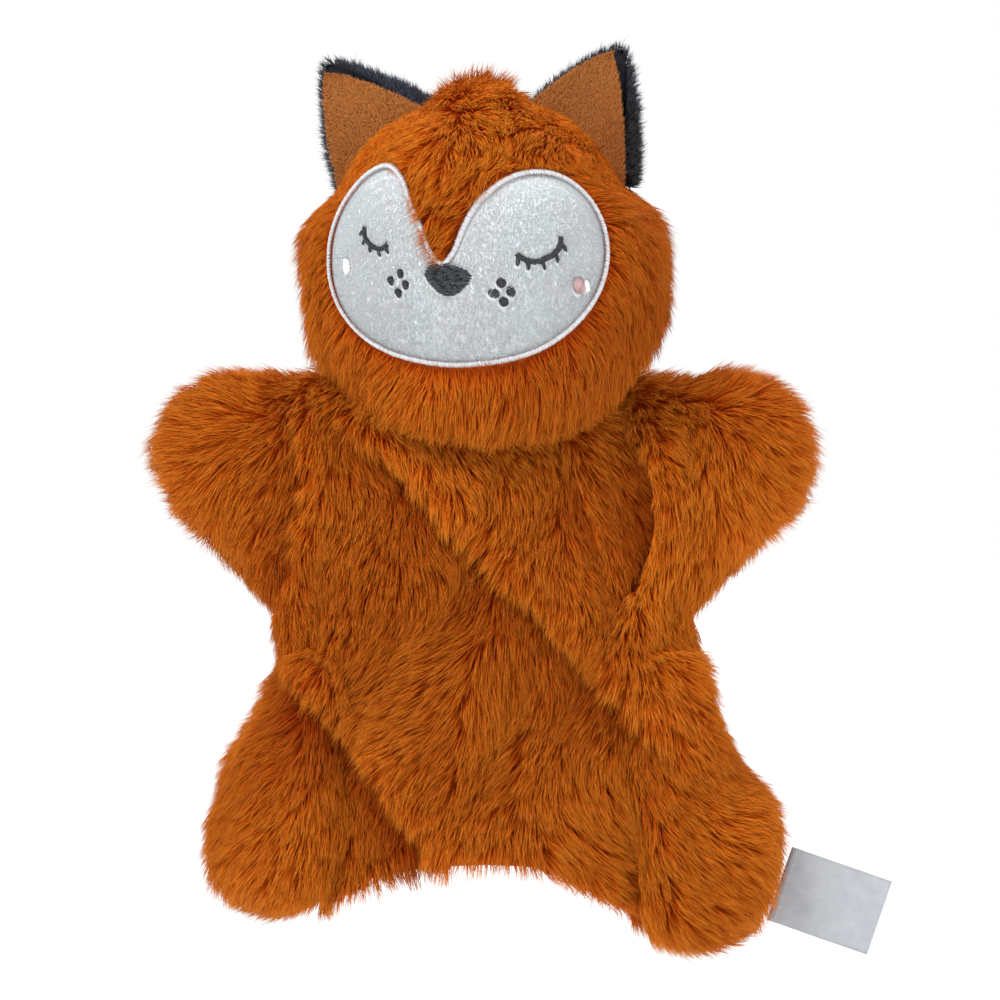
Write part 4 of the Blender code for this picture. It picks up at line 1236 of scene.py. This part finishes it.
def inside_pieces():
    """The CAD pieces that stay get woven or fibre materials."""
    for name, node in FRAME["nodes"].items():
        if "lining" in name or name.startswith(("neck", "head_finger", "head_seam")):
            material = MATERIALS["lining"]
        elif "facing" in name:
            material = MATERIALS["skin"]
        elif name.endswith("filling"):
            material = MATERIALS["stuffing"]
        else:
            continue
        for material_slot in node.material_slots:
            material_slot.material = material
        node.data.polygons.foreach_set("use_smooth", [True] * len(node.data.polygons))


# ---------------------------------------------------------------- studio

PHOTO_CENTRE = (4.5, 111.5)  # what the middle of the picture looks at, x and z
PHOTO_SPAN = 303.0  # width of the picture at the puppet
CAMERA_AWAY = 1.7
SENSOR = 36.0
# Lamps: place in metres, size and watts
LAMPS = {"key": ((-0.8, -1.1, 1.3), 0.6, 20.0), "fill": ((1.3, -0.9, 0.6), 0.8, 4.0),
         "rim": ((0.3, 1.2, 1.2), 0.8, 8.0)}


def studio():
    """Camera at the photograph's view, pale floor, soft lamps and an even white sky."""
    scene = bpy.context.scene
    camera = add_object("camera", bpy.data.cameras.new("camera"))
    camera.location = (PHOTO_CENTRE[0] * MM, -CAMERA_AWAY, PHOTO_CENTRE[1] * MM)
    camera.rotation_euler = (math.pi / 2, 0, 0)
    camera.data.sensor_width = SENSOR
    camera.data.lens = SENSOR * (CAMERA_AWAY - 0.03) / (PHOTO_SPAN * MM)
    camera.data.dof.use_dof = False
    camera.data.clip_end = 100.0
    scene.camera = camera
    bpy.ops.mesh.primitive_plane_add(size=60.0, location=(0, 0, -0.30))
    floor = bpy.context.object
    floor.name = "floor"
    paint, _, shader = new_material("pale_floor", 0.9)
    shader.inputs["Base Color"].default_value = (0.92, 0.92, 0.92, 1)
    shader.inputs["Emission Color"].default_value = (1, 1, 1, 1)
    shader.inputs["Emission Strength"].default_value = 0.2
    floor.data.materials.append(paint)
    scene.world = bpy.data.worlds.new("studio")
    scene.world.use_nodes = True
    sky = scene.world.node_tree.nodes["Background"]
    sky.inputs[0].default_value = (1.0, 1.0, 1.0, 1)
    sky.inputs[1].default_value = 1.0
    scene.view_settings.view_transform = "Standard"
    for name, (place, size, watts) in LAMPS.items():
        lamp = bpy.data.lights.new(name, "AREA")
        lamp.size = size
        lamp.energy = watts
        obj = add_object(name, lamp)
        obj.location = place
        aim = Vector((0, 0, 0.12)) - Vector(place)
        obj.rotation_euler = aim.to_track_quat("-Z", "Y").to_euler()


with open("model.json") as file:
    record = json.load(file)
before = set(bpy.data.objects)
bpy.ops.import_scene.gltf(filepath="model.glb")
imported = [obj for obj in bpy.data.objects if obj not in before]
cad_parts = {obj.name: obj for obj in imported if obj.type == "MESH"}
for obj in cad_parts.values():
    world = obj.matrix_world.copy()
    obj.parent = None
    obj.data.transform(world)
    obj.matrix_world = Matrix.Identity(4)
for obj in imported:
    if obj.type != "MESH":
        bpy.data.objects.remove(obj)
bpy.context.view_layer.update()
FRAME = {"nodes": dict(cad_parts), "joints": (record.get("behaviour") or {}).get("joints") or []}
studio()
make_materials()
make_regions()
cover_body(body_skin())
head()
face()
ears()
label()
inside_pieces()
